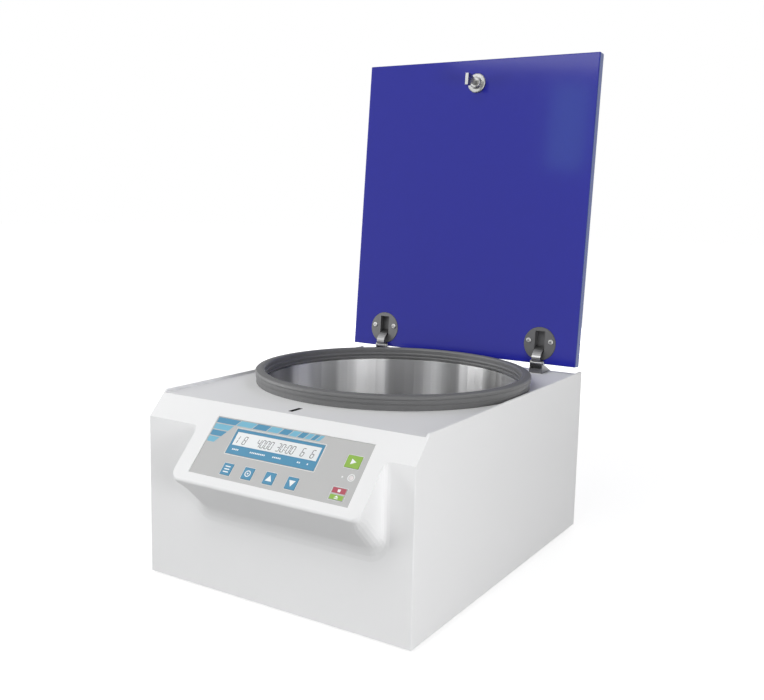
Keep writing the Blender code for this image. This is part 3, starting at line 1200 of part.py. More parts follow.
def middle_y():
    """Middle, along Y, of the box around every piece."""
    bpy.context.view_layer.update()
    ys = [(thing.matrix_world @ v.co).y for thing in bpy.data.objects if thing.type == "MESH"
          for v in thing.data.vertices]
    return (min(ys) + max(ys)) / 2


def build():
    clear_scene()
    root = empty("centrifuge", (0, 0, 0))
    face = empty("console_face", fascia_matrix().to_translation(), (FASCIA_ANGLE, 0, 0), root)
    lid_axis = empty("lid_axis", (0, PIN_Y, PIN_HEIGHT), (-LID_LEAN, 0, 0), root)
    cabinet_shell(root)
    base_pan(root)
    feet(root)
    rear_panel(root)
    console_pieces(root, face)
    bowl_pieces(root)
    drive_pieces(root)
    rotor_pieces(root)
    lid_panel(lid_axis)
    hinges(root, lid_axis)
    latch_pieces(root, lid_axis)
    power_pieces(root)
    fan_pieces(root)
    root.location.y = -middle_y()


build()
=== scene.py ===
# %% [markdown]
# # A bench-top blood bank centrifuge
#
# This lesson dresses a finished set of solids as a laboratory centrifuge: a white cabinet with a keypad
# console, a steel bowl with a rubber gasket, and a gloss blue lid that stands open. The solids have their
# true shape and size, so what is left is finishes, printing, small fasteners, light and camera. Every
# length is in metres.

import math
from fnmatch import filter as matching
from itertools import product

import bmesh
import bpy
from mathutils import Matrix, Vector
from mathutils.bvhtree import BVHTree


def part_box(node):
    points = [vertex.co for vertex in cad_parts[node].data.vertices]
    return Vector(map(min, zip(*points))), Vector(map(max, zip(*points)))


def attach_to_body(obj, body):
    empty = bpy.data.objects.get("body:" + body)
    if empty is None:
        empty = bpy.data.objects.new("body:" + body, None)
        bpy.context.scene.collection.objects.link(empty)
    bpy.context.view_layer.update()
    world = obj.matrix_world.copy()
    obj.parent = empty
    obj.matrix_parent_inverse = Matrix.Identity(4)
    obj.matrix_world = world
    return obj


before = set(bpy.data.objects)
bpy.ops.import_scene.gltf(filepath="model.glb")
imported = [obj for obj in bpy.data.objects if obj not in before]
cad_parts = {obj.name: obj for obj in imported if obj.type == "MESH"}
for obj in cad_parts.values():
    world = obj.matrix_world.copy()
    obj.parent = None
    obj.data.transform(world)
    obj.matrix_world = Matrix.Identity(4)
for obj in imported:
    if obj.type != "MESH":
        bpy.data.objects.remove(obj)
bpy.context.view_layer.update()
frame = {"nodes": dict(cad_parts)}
solids = frame["nodes"]

# %% [markdown]
# The solids are made of flat facets, so a spun bowl would look like a cut gem. Smooth shading hides the
# facets, but it also bends the light on a wide flat face next to a rounded edge. Here each corner of a
# face takes the average direction of the faces that meet there and turn by less than a limit. A face
# counts by its area, so a wide flat one isn't bent by the narrow ones beside it.

# %% Smooth shading that keeps flat faces flat
SMOOTH_LIMIT = math.radians(32)


def smooth(thing):
    """Shades rounded edges smoothly, keeps flat faces flat and leaves sharp edges sharp."""
    mesh = thing.data
    mesh.shade_smooth()
    mesh.set_sharp_from_angle(angle=SMOOTH_LIMIT)
    around = [[] for _ in mesh.vertices]
    for face in mesh.polygons:
        for corner in face.vertices:
            around[corner].append(face.index)
    facing = [face.normal.copy() for face in mesh.polygons]
    area = [face.area for face in mesh.polygons]
    limit = math.cos(SMOOTH_LIMIT)
    normals = [None] * len(mesh.loops)
    for face in mesh.polygons:
        for loop, corner in zip(face.loop_indices, face.vertices):
            total = Vector()
            for other in around[corner]:
                if facing[face.index].dot(facing[other]) > limit:
                    total += facing[other] * area[other]
            normals[loop] = total.normalized() if total.length else facing[face.index]
    mesh.normals_split_custom_set(normals)
    return thing


for solid in solids.values():
    smooth(solid)
print("smooth shading set on", len(solids), "solids")

# %% [markdown]
# A finish is a small network of nodes. Short helpers keep its code readable: one adds a node, feeds its
# inputs and returns an output, and two make node groups. A group is an effect with named inputs and
# outputs, built once and placed in every material that shows it, with other values each time.

# %% Helpers for nodes and node groups
def feed(tree, socket, value):
    """Sets a socket to a plain value, or links another node's output to it."""
    if isinstance(value, bpy.types.NodeSocket):
        tree.links.new(value, socket)
    else:
        socket.default_value = value


def node(tree, kind, inputs=(), output=0, **settings):
    """Adds a node, feeds the inputs given by label or in order, and returns one of its outputs."""
    made = tree.nodes.new(kind)
    for label, value in settings.items():
        setattr(made, label, value)
    for label, value in inputs.items() if isinstance(inputs, dict) else enumerate(inputs):
        feed(tree, made.inputs[label], value)
    return made.outputs[output] if made.outputs else None


def maths(tree, operation, *values):
    return node(tree, "ShaderNodeMath", values, operation=operation)


def noise(tree, vector, scale, detail):
    return node(tree, "ShaderNodeTexNoise", {"Vector": vector, "Scale": scale, "Detail": detail})


def both_ways(tree, value):
    """Turns a value from 0 to 1 into one from -1 to 1."""
    return maths(tree, "MULTIPLY_ADD", value, 2.0, -1.0)


def new_group(name, inputs):
    """An empty group with float or vector inputs, and the values that come in."""
    group = bpy.data.node_groups.new(name, "ShaderNodeTree")
    for label, value in inputs.items():
        kind = "NodeSocketVector" if isinstance(value, tuple) else "NodeSocketFloat"
        group.interface.new_socket(name=label, in_out="INPUT", socket_type=kind).default_value = value
    return group, group.nodes.new("NodeGroupInput").outputs


def put_out(group, **outputs):
    """Gives a group its float outputs and returns the group, ready to be placed."""
    for label in outputs:
        group.interface.new_socket(name=label, in_out="OUTPUT", socket_type="NodeSocketFloat")
    node(group, "NodeGroupOutput", outputs)
    print("group", group.name, "with", len(group.nodes), "nodes")
    return group


def add_group(tree, group, values):
    """Places a group in a network and returns all its outputs."""
    return node(tree, "ShaderNodeGroup", values, node_tree=group).node.outputs


# %% [markdown]
# Real surfaces are never one flat value. Paint has a faint orange skin, rubber is cloudy and rolled metal
# has a grain. This group mixes a fine noise with a slow, cloudy one. The mix shifts the shade and the
# roughness a little, and the fine noise alone serves as a height for bumps.

# %% The grain group
CLOUD_SHARE = 0.6
FINE_DETAIL = 3.0
CLOUD_DETAIL = 4.0

tree, given = new_group(
    "Grain", {"Stretch": (1.0, 1.0, 1.0), "Scale": 900.0, "Cloud Scale": 14.0, "Shade Spread": 0.03,
              "Roughness": 0.4, "Roughness Spread": 0.06})
place = node(tree, "ShaderNodeTexCoord", output="Object")
stretched = node(tree, "ShaderNodeVectorMath", (place, given["Stretch"]), operation="MULTIPLY")
fine = noise(tree, stretched, given["Scale"], FINE_DETAIL)
cloud = noise(tree, stretched, given["Cloud Scale"], CLOUD_DETAIL)
swing = both_ways(tree, maths(tree, "MULTIPLY_ADD", cloud, CLOUD_SHARE,
                              maths(tree, "MULTIPLY", fine, 1 - CLOUD_SHARE)))
shade = maths(tree, "MULTIPLY_ADD", swing, given["Shade Spread"], 1.0)
rough = maths(tree, "MULTIPLY_ADD", swing, given["Roughness Spread"], given["Roughness"])
grain_group = put_out(tree, Shade=shade, Roughness=rough, Height=fine)

# %% [markdown]
# Spun and turned metal is scratched all the way round its axis. Lines that run round a bowl pull every
# reflection into a tall bright streak, which is what makes polished steel look like steel. The group
# measures the distance from an upright axis and the height, and lets fine noise change quickly with
# those two and hardly at all round the axis. A second noise changes only round the axis, for slow streaks.

# %% The spun-line group
CHANGE_AROUND = 1.5
STREAK_SCALE = 5.0
LINE_DETAIL = 2.0
STREAK_DETAIL = 3.0


def from_centre(group, given):
    """The x, y and z of a point, measured from the group's Centre input."""
    place = node(group, "ShaderNodeTexCoord", output="Object")
    offset = node(group, "ShaderNodeVectorMath", (place, given["Centre"]), operation="SUBTRACT")
    return node(group, "ShaderNodeSeparateXYZ", (offset,)).node.outputs


tree, given = new_group(
    "Spun lines", {"Centre": (0.0, 0.0, 0.0), "Lines": 2600.0, "Shade Spread": 0.08, "Streak Spread": 0.1,
                   "Roughness": 0.25, "Roughness Spread": 0.08})
x, y, z = from_centre(tree, given)
turn = maths(tree, "ARCTAN2", y, x)
sine, cosine = maths(tree, "SINE", turn), maths(tree, "COSINE", turn)
radius = maths(tree, "SQRT", maths(tree, "MULTIPLY_ADD", x, x, maths(tree, "MULTIPLY", y, y)))
outwards, upwards = (maths(tree, "MULTIPLY", far, given["Lines"]) for far in (radius, z))
around = maths(tree, "MULTIPLY", sine, CHANGE_AROUND)
lines = noise(tree, node(tree, "ShaderNodeCombineXYZ", (outwards, upwards, around)), 1.0, LINE_DETAIL)
streak = noise(tree, node(tree, "ShaderNodeCombineXYZ", (cosine, sine)), STREAK_SCALE, STREAK_DETAIL)
swing = both_ways(tree, lines)
shade = maths(tree, "MULTIPLY_ADD", swing, given["Shade Spread"], 1.0)
shade = maths(tree, "MULTIPLY_ADD", both_ways(tree, streak), given["Streak Spread"], shade)
rough = maths(tree, "MULTIPLY_ADD", swing, given["Roughness Spread"], given["Roughness"])
spun_group = put_out(tree, Shade=shade, Roughness=rough, Height=lines)

# %% [markdown]
# Each finish is one Principled shader with one of the two groups before it. The group's shade multiplies
# the colour, its roughness goes to the shader, and its height goes through a Bump node. The values that
# are the same all over, such as the metallic value, are set on the shader's own sockets.

# %% Helpers that build a finish
SPUN_SPREAD = 0.06


def shaded(tree, colour, shade):
    """A colour times a changing shade."""
    return node(tree, "ShaderNodeMix", {"Factor": 1.0, "A": colour, "B": shade}, "Result", data_type="RGBA",
                blend_type="MULTIPLY")


def finish(name, worn_by, colour, group, values, bump, depth, **sockets):
    """A material for the solids whose names match, where * stands for any ending.

    It takes a colour, a group with its values, a bump's strength and depth, and shader values. The colour
    is three numbers, or a function that adds nodes to the material and returns their colour.
    """
    material = bpy.data.materials.new(name)
    material.use_nodes = True
    tree = material.node_tree
    shader = tree.nodes["Principled BSDF"].inputs
    effect = add_group(tree, group, values)
    colour = colour(tree) if callable(colour) else (*colour, 1.0)
    feed(tree, shader["Base Color"], shaded(tree, colour, effect["Shade"]))
    feed(tree, shader["Roughness"], effect["Roughness"])
    if bump:
        relief = {"Strength": bump, "Distance": depth, "Height": effect["Height"]}
        feed(tree, shader["Normal"], node(tree, "ShaderNodeBump", relief, "Normal"))
    for label, value in sockets.items():
        shader[label.replace("_", " ")].default_value = value
    wearers = [solid for pattern in worn_by for solid in matching(solids, pattern)]
    for solid in wearers:
        for slot in solids[solid].material_slots:
            slot.material = material
    print(name, "on", ", ".join(wearers) or "the scene's own pieces")
    return material


def grainy(name, worn_by, colour, scale, shade, rough, spread=0.06, cloud=14.0, stretch=(1.0, 1.0, 1.0),
           bump=0.0, depth=0.0002, **sockets):
    """A finish with the grain group: paint, rubber, plastic, film or rolled metal."""
    values = {"Stretch": stretch, "Scale": scale, "Cloud Scale": cloud, "Shade Spread": shade,
              "Roughness": rough, "Roughness Spread": spread}
    return finish(name, worn_by, colour, grain_group, values, bump, depth, **sockets)


def spun(name, worn_by, colour, centre, lines, shade, streak, rough, bump, depth, **sockets):
    """A bare metal finish with the spun-line group."""
    values = {"Centre": centre, "Lines": lines, "Shade Spread": shade, "Streak Spread": streak,
              "Roughness": rough, "Roughness Spread": SPUN_SPREAD}
    return finish(name, worn_by, colour, spun_group, values, bump, depth, Metallic=1.0, **sockets)


# %% [markdown]
# Some faces of a piece are duller than the rest. The deck is sprayed with a fine texture, so it doesn't
# mirror the lid, and the gasket's top is worn by it. The direction in which a face looks tells these
# faces from the others, so a small group turns it into a mask, and a helper makes a finish rougher there.

# %% Duller faces that look up
UPWARD_LIMIT = 0.9

tree = new_group("Faces that look up", {})[0]
facing = node(tree, "ShaderNodeTexCoord", output="Normal")
upward = node(tree, "ShaderNodeSeparateXYZ", (facing,), "Z")
top_group = put_out(tree, Top=maths(tree, "GREATER_THAN", upward, UPWARD_LIMIT))


def rougher_where(material, group, label, added):
    """Adds to a finish's roughness where a group's mask is one."""
    tree = material.node_tree
    socket = tree.nodes["Principled BSDF"].inputs["Roughness"]
    mask = add_group(tree, group, {})[label]
    feed(tree, socket, maths(tree, "MULTIPLY_ADD", mask, added, socket.links[0].from_socket))


# %% [markdown]
# The cabinet is sheet steel and a moulded front under one white enamel. Close up, sprayed enamel has a
# very shallow skin of bumps that only shows in its reflections, so the bump is weak and the colour
# changes by about one part in a hundred. The pan and the plates inside are bare zinc-plated sheet.

# %% Enamel and sheet steel
DECK_ROUGHER = 0.42

enamel = grainy("white_enamel", ["cabinet_shell", "rear_panel"], (0.855, 0.857, 0.862), scale=1400.0,
                cloud=9.0, shade=0.012, rough=0.31, spread=0.05, bump=0.10, Specular_IOR_Level=0.32)
rougher_where(enamel, top_group, "Top", DECK_ROUGHER)
grainy("plated_sheet", ["base_pan", "guard_ring", "motor_plate"], (0.55, 0.56, 0.58), scale=220.0,
       cloud=30.0, shade=0.12, rough=0.42, spread=0.10, bump=0.10, Metallic=1.0)

# %% [markdown]
# Rubber is dark, soft to the light and a little cloudy where it has been handled. The gasket is a
# moulded extrusion, smoother and greyer than the feet, so it catches a soft highlight along its lip.

# %% Rubber
GASKET_ROUGHER = 0.30

grainy("black_rubber", ["foot_*", "damper_*", "shaft_boot"], (0.030, 0.030, 0.031), scale=700.0, cloud=40.0,
       shade=0.25, rough=0.72, spread=0.10, bump=0.25)
gasket_rubber = grainy("grey_gasket_rubber", ["bowl_gasket"], (0.130, 0.131, 0.133), scale=520.0,
                       cloud=26.0, shade=0.14, rough=0.46, spread=0.10, bump=0.12)
rougher_where(gasket_rubber, top_group, "Top", GASKET_ROUGHER)

# %% [markdown]
# The bowl is spun from thin steel and polished. Its wall shows tall bright and dull bands, which are
# reflections of its bright and dark surroundings, and a colour ramp round the axis paints them into the
# steel's colour as painted reflections. Each pair is a place and a painted shade: the places run from 0 at
# the front over the left to 0.5 at the back, and over the right to 1 at the front again.
# Fine lines also stretch each highlight across them. The shader calls that anisotropic, and a tangent
# that runs round the axis gives it the lines' direction.

# %% The bowl
# Painted reflections: each pair darkens or lightens the steel's colour at one place round the bowl.
PAINTED_REFLECTION_BANDS = (
    (0, 0.6), (0.08, 0.85), (0.14, 0.55), (0.2, 0.75), (0.24, 0.42), (0.262, 1), (0.275, 1), (0.295, 0.64),
    (0.327, 0.45), (0.336, 0.68), (0.352, 0.74), (0.362, 0.97), (0.372, 1), (0.386, 0.9), (0.399, 1),
    (0.412, 0.46), (0.45, 0.44), (0.467, 0.64), (0.475, 0.79), (0.485, 0.62), (0.5, 0.44), (0.508, 0.44),
    (0.518, 0.93), (0.533, 0.73), (0.552, 0.7), (0.567, 0.28), (0.583, 0.42), (0.6, 0.8), (0.62, 1),
    (0.72, 0.8), (0.86, 0.6), (1, 0.6))
BOWL_COLOUR = (0.98, 0.98, 0.98, 1.0)


def middle_of(name):
    low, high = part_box(name)
    return tuple((a + b) / 2 for a, b in zip(low, high))


tree, given = new_group("Painted reflections round an axis", {"Centre": (0.0, 0.0, 0.0)})
x, y, z = from_centre(tree, given)
around = maths(tree, "MULTIPLY_ADD", maths(tree, "ARCTAN2", x, y), 1 / math.tau, 0.5)
ramp = node(tree, "ShaderNodeValToRGB", (around,))
stops = ramp.node.color_ramp.elements
ramp.node.color_ramp.interpolation = "EASE"
while len(stops) < len(PAINTED_REFLECTION_BANDS):
    stops.new(0.5)
for stop, (position, shade) in zip(stops, PAINTED_REFLECTION_BANDS):
    stop.position = position
    stop.color = (shade, shade, shade, 1.0)
painted_reflection_group = put_out(tree, Shade=ramp)
bowl_centre = middle_of("bowl")


# The steel's colour times the painted reflection bands.
def banded(tree):
    return shaded(tree, BOWL_COLOUR, add_group(tree, painted_reflection_group, {"Centre": bowl_centre})["Shade"])


bowl_steel = spun("spun_bowl_steel", ["bowl"], banded, bowl_centre, lines=2400.0, shade=0.05, streak=0.10,
                  rough=0.32, bump=0.22, depth=0.00008, Anisotropic=0.80, Anisotropic_Rotation=0.25)
tree = bowl_steel.node_tree
feed(tree, tree.nodes["Principled BSDF"].inputs["Tangent"],
     node(tree, "ShaderNodeTangent", direction_type="RADIAL", axis="Z"))

# %% [markdown]
# The shaft, the nut, the pins and the buckets are turned steel. The buckets hang off the rotor's axis, so
# each one's lines are measured from its own middle.

# %% Turned steel
spun("turned_steel", ["motor_shaft", "rotor_nut", "lock_bolt", "hinge_pin_*"], (0.62, 0.62, 0.635),
     bowl_centre, lines=3000.0, shade=0.08, streak=0.05, rough=0.24, bump=0.15, depth=0.00006)
for number in range(1, 5):
    name = f"bucket_{number}"
    spun(f"bucket_steel_{number}", [name], (0.60, 0.605, 0.615), middle_of(name), lines=2800.0, shade=0.06,
         streak=0.05, rough=0.26, bump=0.15, depth=0.00006)

# %% [markdown]
# The rotor head and the motor driver are aluminium, machined and then anodised, the rotor in a dull dark
# grey that doesn't mirror the bowl and the lid. The motor is painted.

# %% Aluminium and motor paint
grainy("anodised_aluminium", ["motor_driver"], (0.56, 0.57, 0.59), stretch=(1.0, 1.0, 6.0), scale=420.0,
       cloud=24.0, shade=0.08, rough=0.36, spread=0.08, bump=0.10, depth=0.0001, Metallic=1.0)
grainy("anodised_rotor", ["rotor_head"], (0.27, 0.275, 0.28), scale=620.0, cloud=18.0, shade=0.08,
       rough=0.50, bump=0.12, depth=0.0001, Metallic=0.6)
grainy("motor_paint", ["motor_body"], (0.10, 0.105, 0.11), scale=600.0, shade=0.08, rough=0.45, bump=0.15)

# %% [markdown]
# Small moulded parts are plastics of several colours. The board's resin is smooth, so it has no bump.

# %% Plastics and board resin
black_plastic = grainy("black_moulding", ["lock_body", "power_*", "fan_*"], (0.022, 0.022, 0.024),
                       scale=1100.0, shade=0.12, rough=0.50, spread=0.08, bump=0.20)
grainy("sleeve_plastic", ["tube_sleeve_*"], (0.05, 0.16, 0.42), scale=500.0, shade=0.06, rough=0.45,
       bump=0.10)
grainy("board_resin", ["control_board"], (0.02, 0.17, 0.07), scale=300.0, shade=0.10, rough=0.40)

# %% [markdown]
# The keypad is a film over the console: light grey with a fine leather-like texture, and blue round the
# display. The keys are the same film over small pads. The display and the lamp's lens are smooth.

# %% Keypad films, display and lens
def film(name, worn_by, colour):
    return grainy(name, worn_by, colour, scale=1700.0, cloud=20.0, shade=0.02, rough=0.42, spread=0.05,
                  bump=0.18, depth=0.00012)


film("grey_film", ["keypad_overlay", "key_stop_open"], (0.480, 0.481, 0.478))
blue_film = film("blue_film", ["display_frame", "key_mode", "key_set", "key_up", "key_down"],
                 (0.045, 0.238, 0.400))
light_blue_film = film("light_blue_film", [], (0.150, 0.430, 0.580))
green_film = film("green_film", ["key_start"], (0.243, 0.430, 0.046))
red_film = film("red_film", [], (0.390, 0.050, 0.082))
white_ink = film("white_ink", [], (0.86, 0.87, 0.87))
grainy("display_white", ["display_module"], (0.84, 0.86, 0.87), scale=300.0, cloud=30.0, shade=0.015,
       rough=0.16, spread=0.02)
segment_ink = grainy("segment_ink", [], (0.075, 0.080, 0.085), scale=300.0, shade=0.05, rough=0.30)
grainy("lens_clear", ["status_lens"], (0.78, 0.74, 0.74), scale=300.0, shade=0.02, rough=0.14, spread=0.02)

# %% [markdown]
# The lid is a thick board under gloss blue laminate, with a paler edge band glued round its four sides.
# Both belong to one solid, so one material tells them apart: the solid's own normal points along the
# board's thickness on the two big faces, and across it on the band. The normal is read in the solid's
# own space, so the band stays in place when the lid turns. The outer face is satin, the inner one gloss.

# %% Gloss blue board with its edge band
LID_LEAN = math.radians(4.7)
LID_FRONT = Vector((0.0, -math.cos(LID_LEAN), math.sin(LID_LEAN)))
BOARD_BLUE = (0.016, 0.019, 0.285, 1.0)
BAND_BLUE = (0.022, 0.064, 0.310, 1.0)
BAND_LIMIT = 0.55
OUTER_ROUGHER = 0.45

tree = new_group("Faces of the board", {})[0]
facing = node(tree, "ShaderNodeTexCoord", output="Normal")
forward = node(tree, "ShaderNodeVectorMath", (facing, LID_FRONT), "Value", operation="DOT_PRODUCT")
band = maths(tree, "LESS_THAN", maths(tree, "ABSOLUTE", forward), BAND_LIMIT)
faces_group = put_out(tree, Band=band, Outer=maths(tree, "LESS_THAN", forward, -BAND_LIMIT))


def board_and_band(tree):
    """Board blue on the two big faces and band blue on the four narrow ones."""
    band = add_group(tree, faces_group, {})["Band"]
    return node(tree, "ShaderNodeMix", {"Factor": band, "A": BOARD_BLUE, "B": BAND_BLUE}, "Result",
                data_type="RGBA")


lid_blue = grainy("gloss_blue_board", ["lid_panel"], board_and_band, scale=60.0, cloud=3.0, shade=0.05,
                  rough=0.09, spread=0.03, bump=0.03, depth=0.0004, Specular_IOR_Level=0.35)
rougher_where(lid_blue, faces_group, "Outer", OUTER_ROUGHER)

# %% [markdown]
# The hinge flanges have a dark satin plating, the arms and brackets are pressed steel, and the screws and
# the latch are brighter. Such metals mirror a lot, so their roughness is low and their grain faint.

# %% Hinge and latch metals
grainy("dark_plating", ["hinge_cup_*"], (0.115, 0.115, 0.118), scale=380.0, cloud=90.0, shade=0.16,
       rough=0.42, spread=0.10, bump=0.12, depth=0.0001, Metallic=0.55)
pressed_steel = grainy("pressed_steel", ["hinge_arm_*", "hinge_bracket_*"], (0.27, 0.27, 0.272),
                       stretch=(1.0, 4.0, 4.0), scale=260.0, cloud=60.0, shade=0.14, rough=0.34, spread=0.10,
                       bump=0.10, depth=0.0001, Metallic=1.0)
grainy("cast_zinc", ["latch_*"], (0.36, 0.36, 0.355), scale=200.0, cloud=110.0, shade=0.22, rough=0.26,
       spread=0.10, bump=0.15, Metallic=1.0)
screw_steel = grainy("screw_steel", ["hinge_screw_*"], (0.42, 0.42, 0.42), scale=200.0, cloud=50.0,
                     shade=0.06, rough=0.33, Metallic=1.0)

# %% [markdown]
# The scene's own pieces come next. Each starts as points and faces, which a helper turns into a closed mesh
# whose faces look outwards. Every new piece must also say what it moves with, so a second helper gives it its
# material and the body that carries it.

# %% Helpers that make and attach pieces
def link_mesh(name, points, faces, matrix=None):
    """Makes a mesh object from points and faces and turns its faces outwards."""
    mesh = bpy.data.meshes.new(name)
    mesh.from_pydata(points, [], faces)
    if matrix:
        mesh.transform(matrix)
    shape = bmesh.new()
    shape.from_mesh(mesh)
    bmesh.ops.recalc_face_normals(shape, faces=shape.faces)
    shape.to_mesh(mesh)
    shape.free()
    thing = bpy.data.objects.new(name, mesh)
    bpy.context.scene.collection.objects.link(thing)
    return thing


def attach(thing, material, body):
    thing.data.materials.clear()
    thing.data.materials.append(material)
    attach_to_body(thing, body)
    print("made", thing.name, "with", len(thing.data.polygons), "faces, carried by", body)


# %% [markdown]
# The gasket's inner wall is ribbed like its outer one, and each rib catches its own thin line of light.
# Two webs make the grooves of its outer wall shallower. All four are hoops: a small section, drawn with a
# radius and a height, that is swept round the bowl's axis.

# %% Ribs and webs of the gasket
GASKET_INSIDE = 0.1829
GASKET_OUTSIDE = 0.1964
GASKET_LOW = 0.2413
INNER_RIBS = ((0.0095, 0.0024, 0.0016), (0.0044, 0.0018, 0.0012))
FILLED_GROOVES = ((0.0068, 0.0092, 0.0020), (0.0130, 0.0145, 0.0012))
BEDDING = 0.0004
ROUND_STEPS = 96
HALF_TURN = [math.radians(turn) for turn in range(0, 181, 30)]


def swept(name, section, steps, matrix):
    """A round piece about its own Z axis from a closed section of (radius, height) points."""
    points, faces, rings = [], [], []
    for radius, height in section:
        turns = [math.tau * i / steps for i in range(steps if radius else 1)]
        rings.append(range(len(points), len(points) + len(turns)))
        points += [(radius * math.cos(turn), radius * math.sin(turn), height) for turn in turns]
    for low, high in zip(rings, rings[1:] + rings[:1]):
        for i in range(steps):
            j = (i + 1) % steps
            corners = (low[i % len(low)], low[j % len(low)], high[j % len(high)], high[i % len(high)])
            faces.append(list(dict.fromkeys(corners)))
    return smooth(link_mesh(name, points, [face for face in faces if len(face) > 2], matrix))


def hoop(name, section):
    ring = swept(name, section, ROUND_STEPS, Matrix.Translation((bowl_centre[0], bowl_centre[1], 0)))
    attach(ring, gasket_rubber, "cabinet")


for number, (rise, half, out) in enumerate(INNER_RIBS, 1):
    middle = GASKET_LOW + rise
    bulge = [(GASKET_INSIDE - out * math.sin(turn), middle + half * math.cos(turn)) for turn in HALF_TURN]
    back = GASKET_INSIDE + BEDDING
    hoop(f"gasket_rib_{number}", [(back, middle + half), *bulge, (back, middle - half)])
for number, (low, high, deep) in enumerate(FILLED_GROOVES, 1):
    outer, low, high = GASKET_OUTSIDE - deep, GASKET_LOW + low, GASKET_LOW + high
    inner = outer - BEDDING
    hoop(f"gasket_web_{number}", [(inner, low), (outer, low), (outer, high), (inner, high)])

# %% [markdown]
# The slot for the lid's hook has a thin black liner, put in as painted shade: it makes the slot read as the
# dark slit that the shade inside it would give. It is a flat frame with some thickness, between two rounded
# outlines.

# %% The painted-shade liner of the hook's slot
SINK = 0.00002
CABINET_DEPTH = 0.508
SLOT_MIDDLE = (0.0015, -0.2065)
SLOT_SIZE = (0.0066, 0.0220)
SLOT_LEVELS = (0.2378, 0.24105)
SHADE_LINER_THICK = 0.0003


def rounded(x, y, width, height, radius, steps=4):
    """The outline of a rectangle with rounded corners, about its middle."""
    outline = []
    for corner, (sx, sy) in enumerate(((1, 1), (-1, 1), (-1, -1), (1, -1))):
        for i in range(steps + 1):
            turn = math.pi / 2 * (corner + i / steps)
            outline.append((x + sx * (width / 2 - radius) + radius * math.cos(turn),
                            y + sy * (height / 2 - radius) + radius * math.sin(turn)))
    return outline


def frames(name, loops, low, high, matrix):
    """Flat frames in one object, each between an outer and an inner outline with equal point counts."""
    points, faces = [], []
    for outer, inner in loops:
        first, count = len(points), len(outer)
        for z in (low, high):
            points += [(x, y, z) for x, y in outer] + [(x, y, z) for x, y in inner]
        for i in range(count):
            j = (i + 1) % count
            a, b, c, d = (first + part * count for part in range(4))
            faces += [[a + i, a + j, b + j, b + i], [c + i, c + j, d + j, d + i],
                      [a + i, a + j, c + j, c + i], [b + i, b + j, d + j, d + i]]
    return link_mesh(name, points, faces, matrix)


cabinet_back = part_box("cabinet_shell")[1][1]
cabinet_middle = cabinet_back - CABINET_DEPTH / 2
width, length = SLOT_SIZE
outer = rounded(0, 0, width - SINK, length - SINK, SHADE_LINER_THICK * 2)
inner = rounded(0, 0, width - 2 * SHADE_LINER_THICK, length - 2 * SHADE_LINER_THICK, SHADE_LINER_THICK)
# Painted shade: a black frame round the slot's walls stands in for the shade inside the slot.
slot_shade = frames("slot_shade_liner", [(outer, inner)], *SLOT_LEVELS,
               Matrix.Translation((SLOT_MIDDLE[0], cabinet_middle + SLOT_MIDDLE[1], 0)))
attach(slot_shade, black_plastic, "cabinet")

# %% [markdown]
# Each hinge bracket is a folded sheet, so a low wall joins its two cheeks behind the arm's knuckle. The
# wall is a flat plate, and the same helper will print every sign of the keypad.

# %% Back walls of the hinge brackets
BRACKET_BASE = 0.0020
WALL_WIDTH = 0.0166
WALL_BEHIND = (0.0043, 0.0057)
WALL_HEIGHT = 0.0092


def plates(name, outlines, low, high, matrix=None):
    """Flat plates in one object: each outline is drawn in x and y and stands from low to high in z."""
    points, faces = [], []
    for outline in outlines:
        first, count = len(points), len(outline)
        points += [(x, y, low) for x, y in outline] + [(x, y, high) for x, y in outline]
        faces.append([first + i for i in range(count)])
        faces.append([first + count + i for i in range(count)])
        for i in range(count):
            j = (i + 1) % count
            faces.append([first + i, first + j, first + count + j, first + count + i])
    return link_mesh(name, points, faces, matrix)


for side in ("left", "right"):
    middle, pin_y = middle_of(f"hinge_bracket_{side}")[0], middle_of(f"hinge_pin_{side}")[1]
    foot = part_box(f"hinge_bracket_{side}")[0][2] + BRACKET_BASE
    half, (front, back) = WALL_WIDTH / 2 + SINK, (pin_y + behind for behind in WALL_BEHIND)
    outline = [(middle - half, front), (middle + half, front), (middle + half, back), (middle - half, back)]
    wall = plates(f"bracket_wall_{side}", [outline], foot - SINK, foot + WALL_HEIGHT)
    attach(wall, pressed_steel, "cabinet")

# %% [markdown]
# Everything printed on the console lies on its sloping face. It is far easier to draw there with two flat
# numbers than with three: x runs to the right, and t runs down the slope from its top edge. One matrix,
# built from the cabinet's own sizes, turns x and -t into places in the room. Ink is only a few hundredths
# of a millimetre thick, and as thin plates it keeps crisp edges at any zoom.

# %% The sloping face's own ruler, and ink on it
SIDE_TOP = 0.245
FASCIA_RUN = 0.0295
FASCIA_RISE = 0.031
FASCIA_TILT = math.atan2(FASCIA_RISE, FASCIA_RUN)
OVERLAY_LEVEL = -0.0005
KEY_LEVEL = -0.0001
SCREEN_LEVEL = -0.0007
INK = 0.00006

cabinet_front = cabinet_back - CABINET_DEPTH
face_matrix = (Matrix.Translation((0, cabinet_front + FASCIA_RUN, SIDE_TOP))
               @ Matrix.Rotation(FASCIA_TILT, 4, "X"))
print("slope", round(math.degrees(FASCIA_TILT), 1), "degrees, top edge at",
      [round(v, 4) for v in face_matrix.translation])


def printed(name, outlines, level, ink=white_ink, body="cabinet", shape=plates):
    """Ink that stands a hair above one level of the sloping face."""
    attach(shape(name, outlines, level - SINK, level + INK, face_matrix), ink, body)


# %% [markdown]
# The film's art is a run of slanted bars in two blues that get narrower to the right, and three short rows
# of bars below it at the left that get shorter downwards.

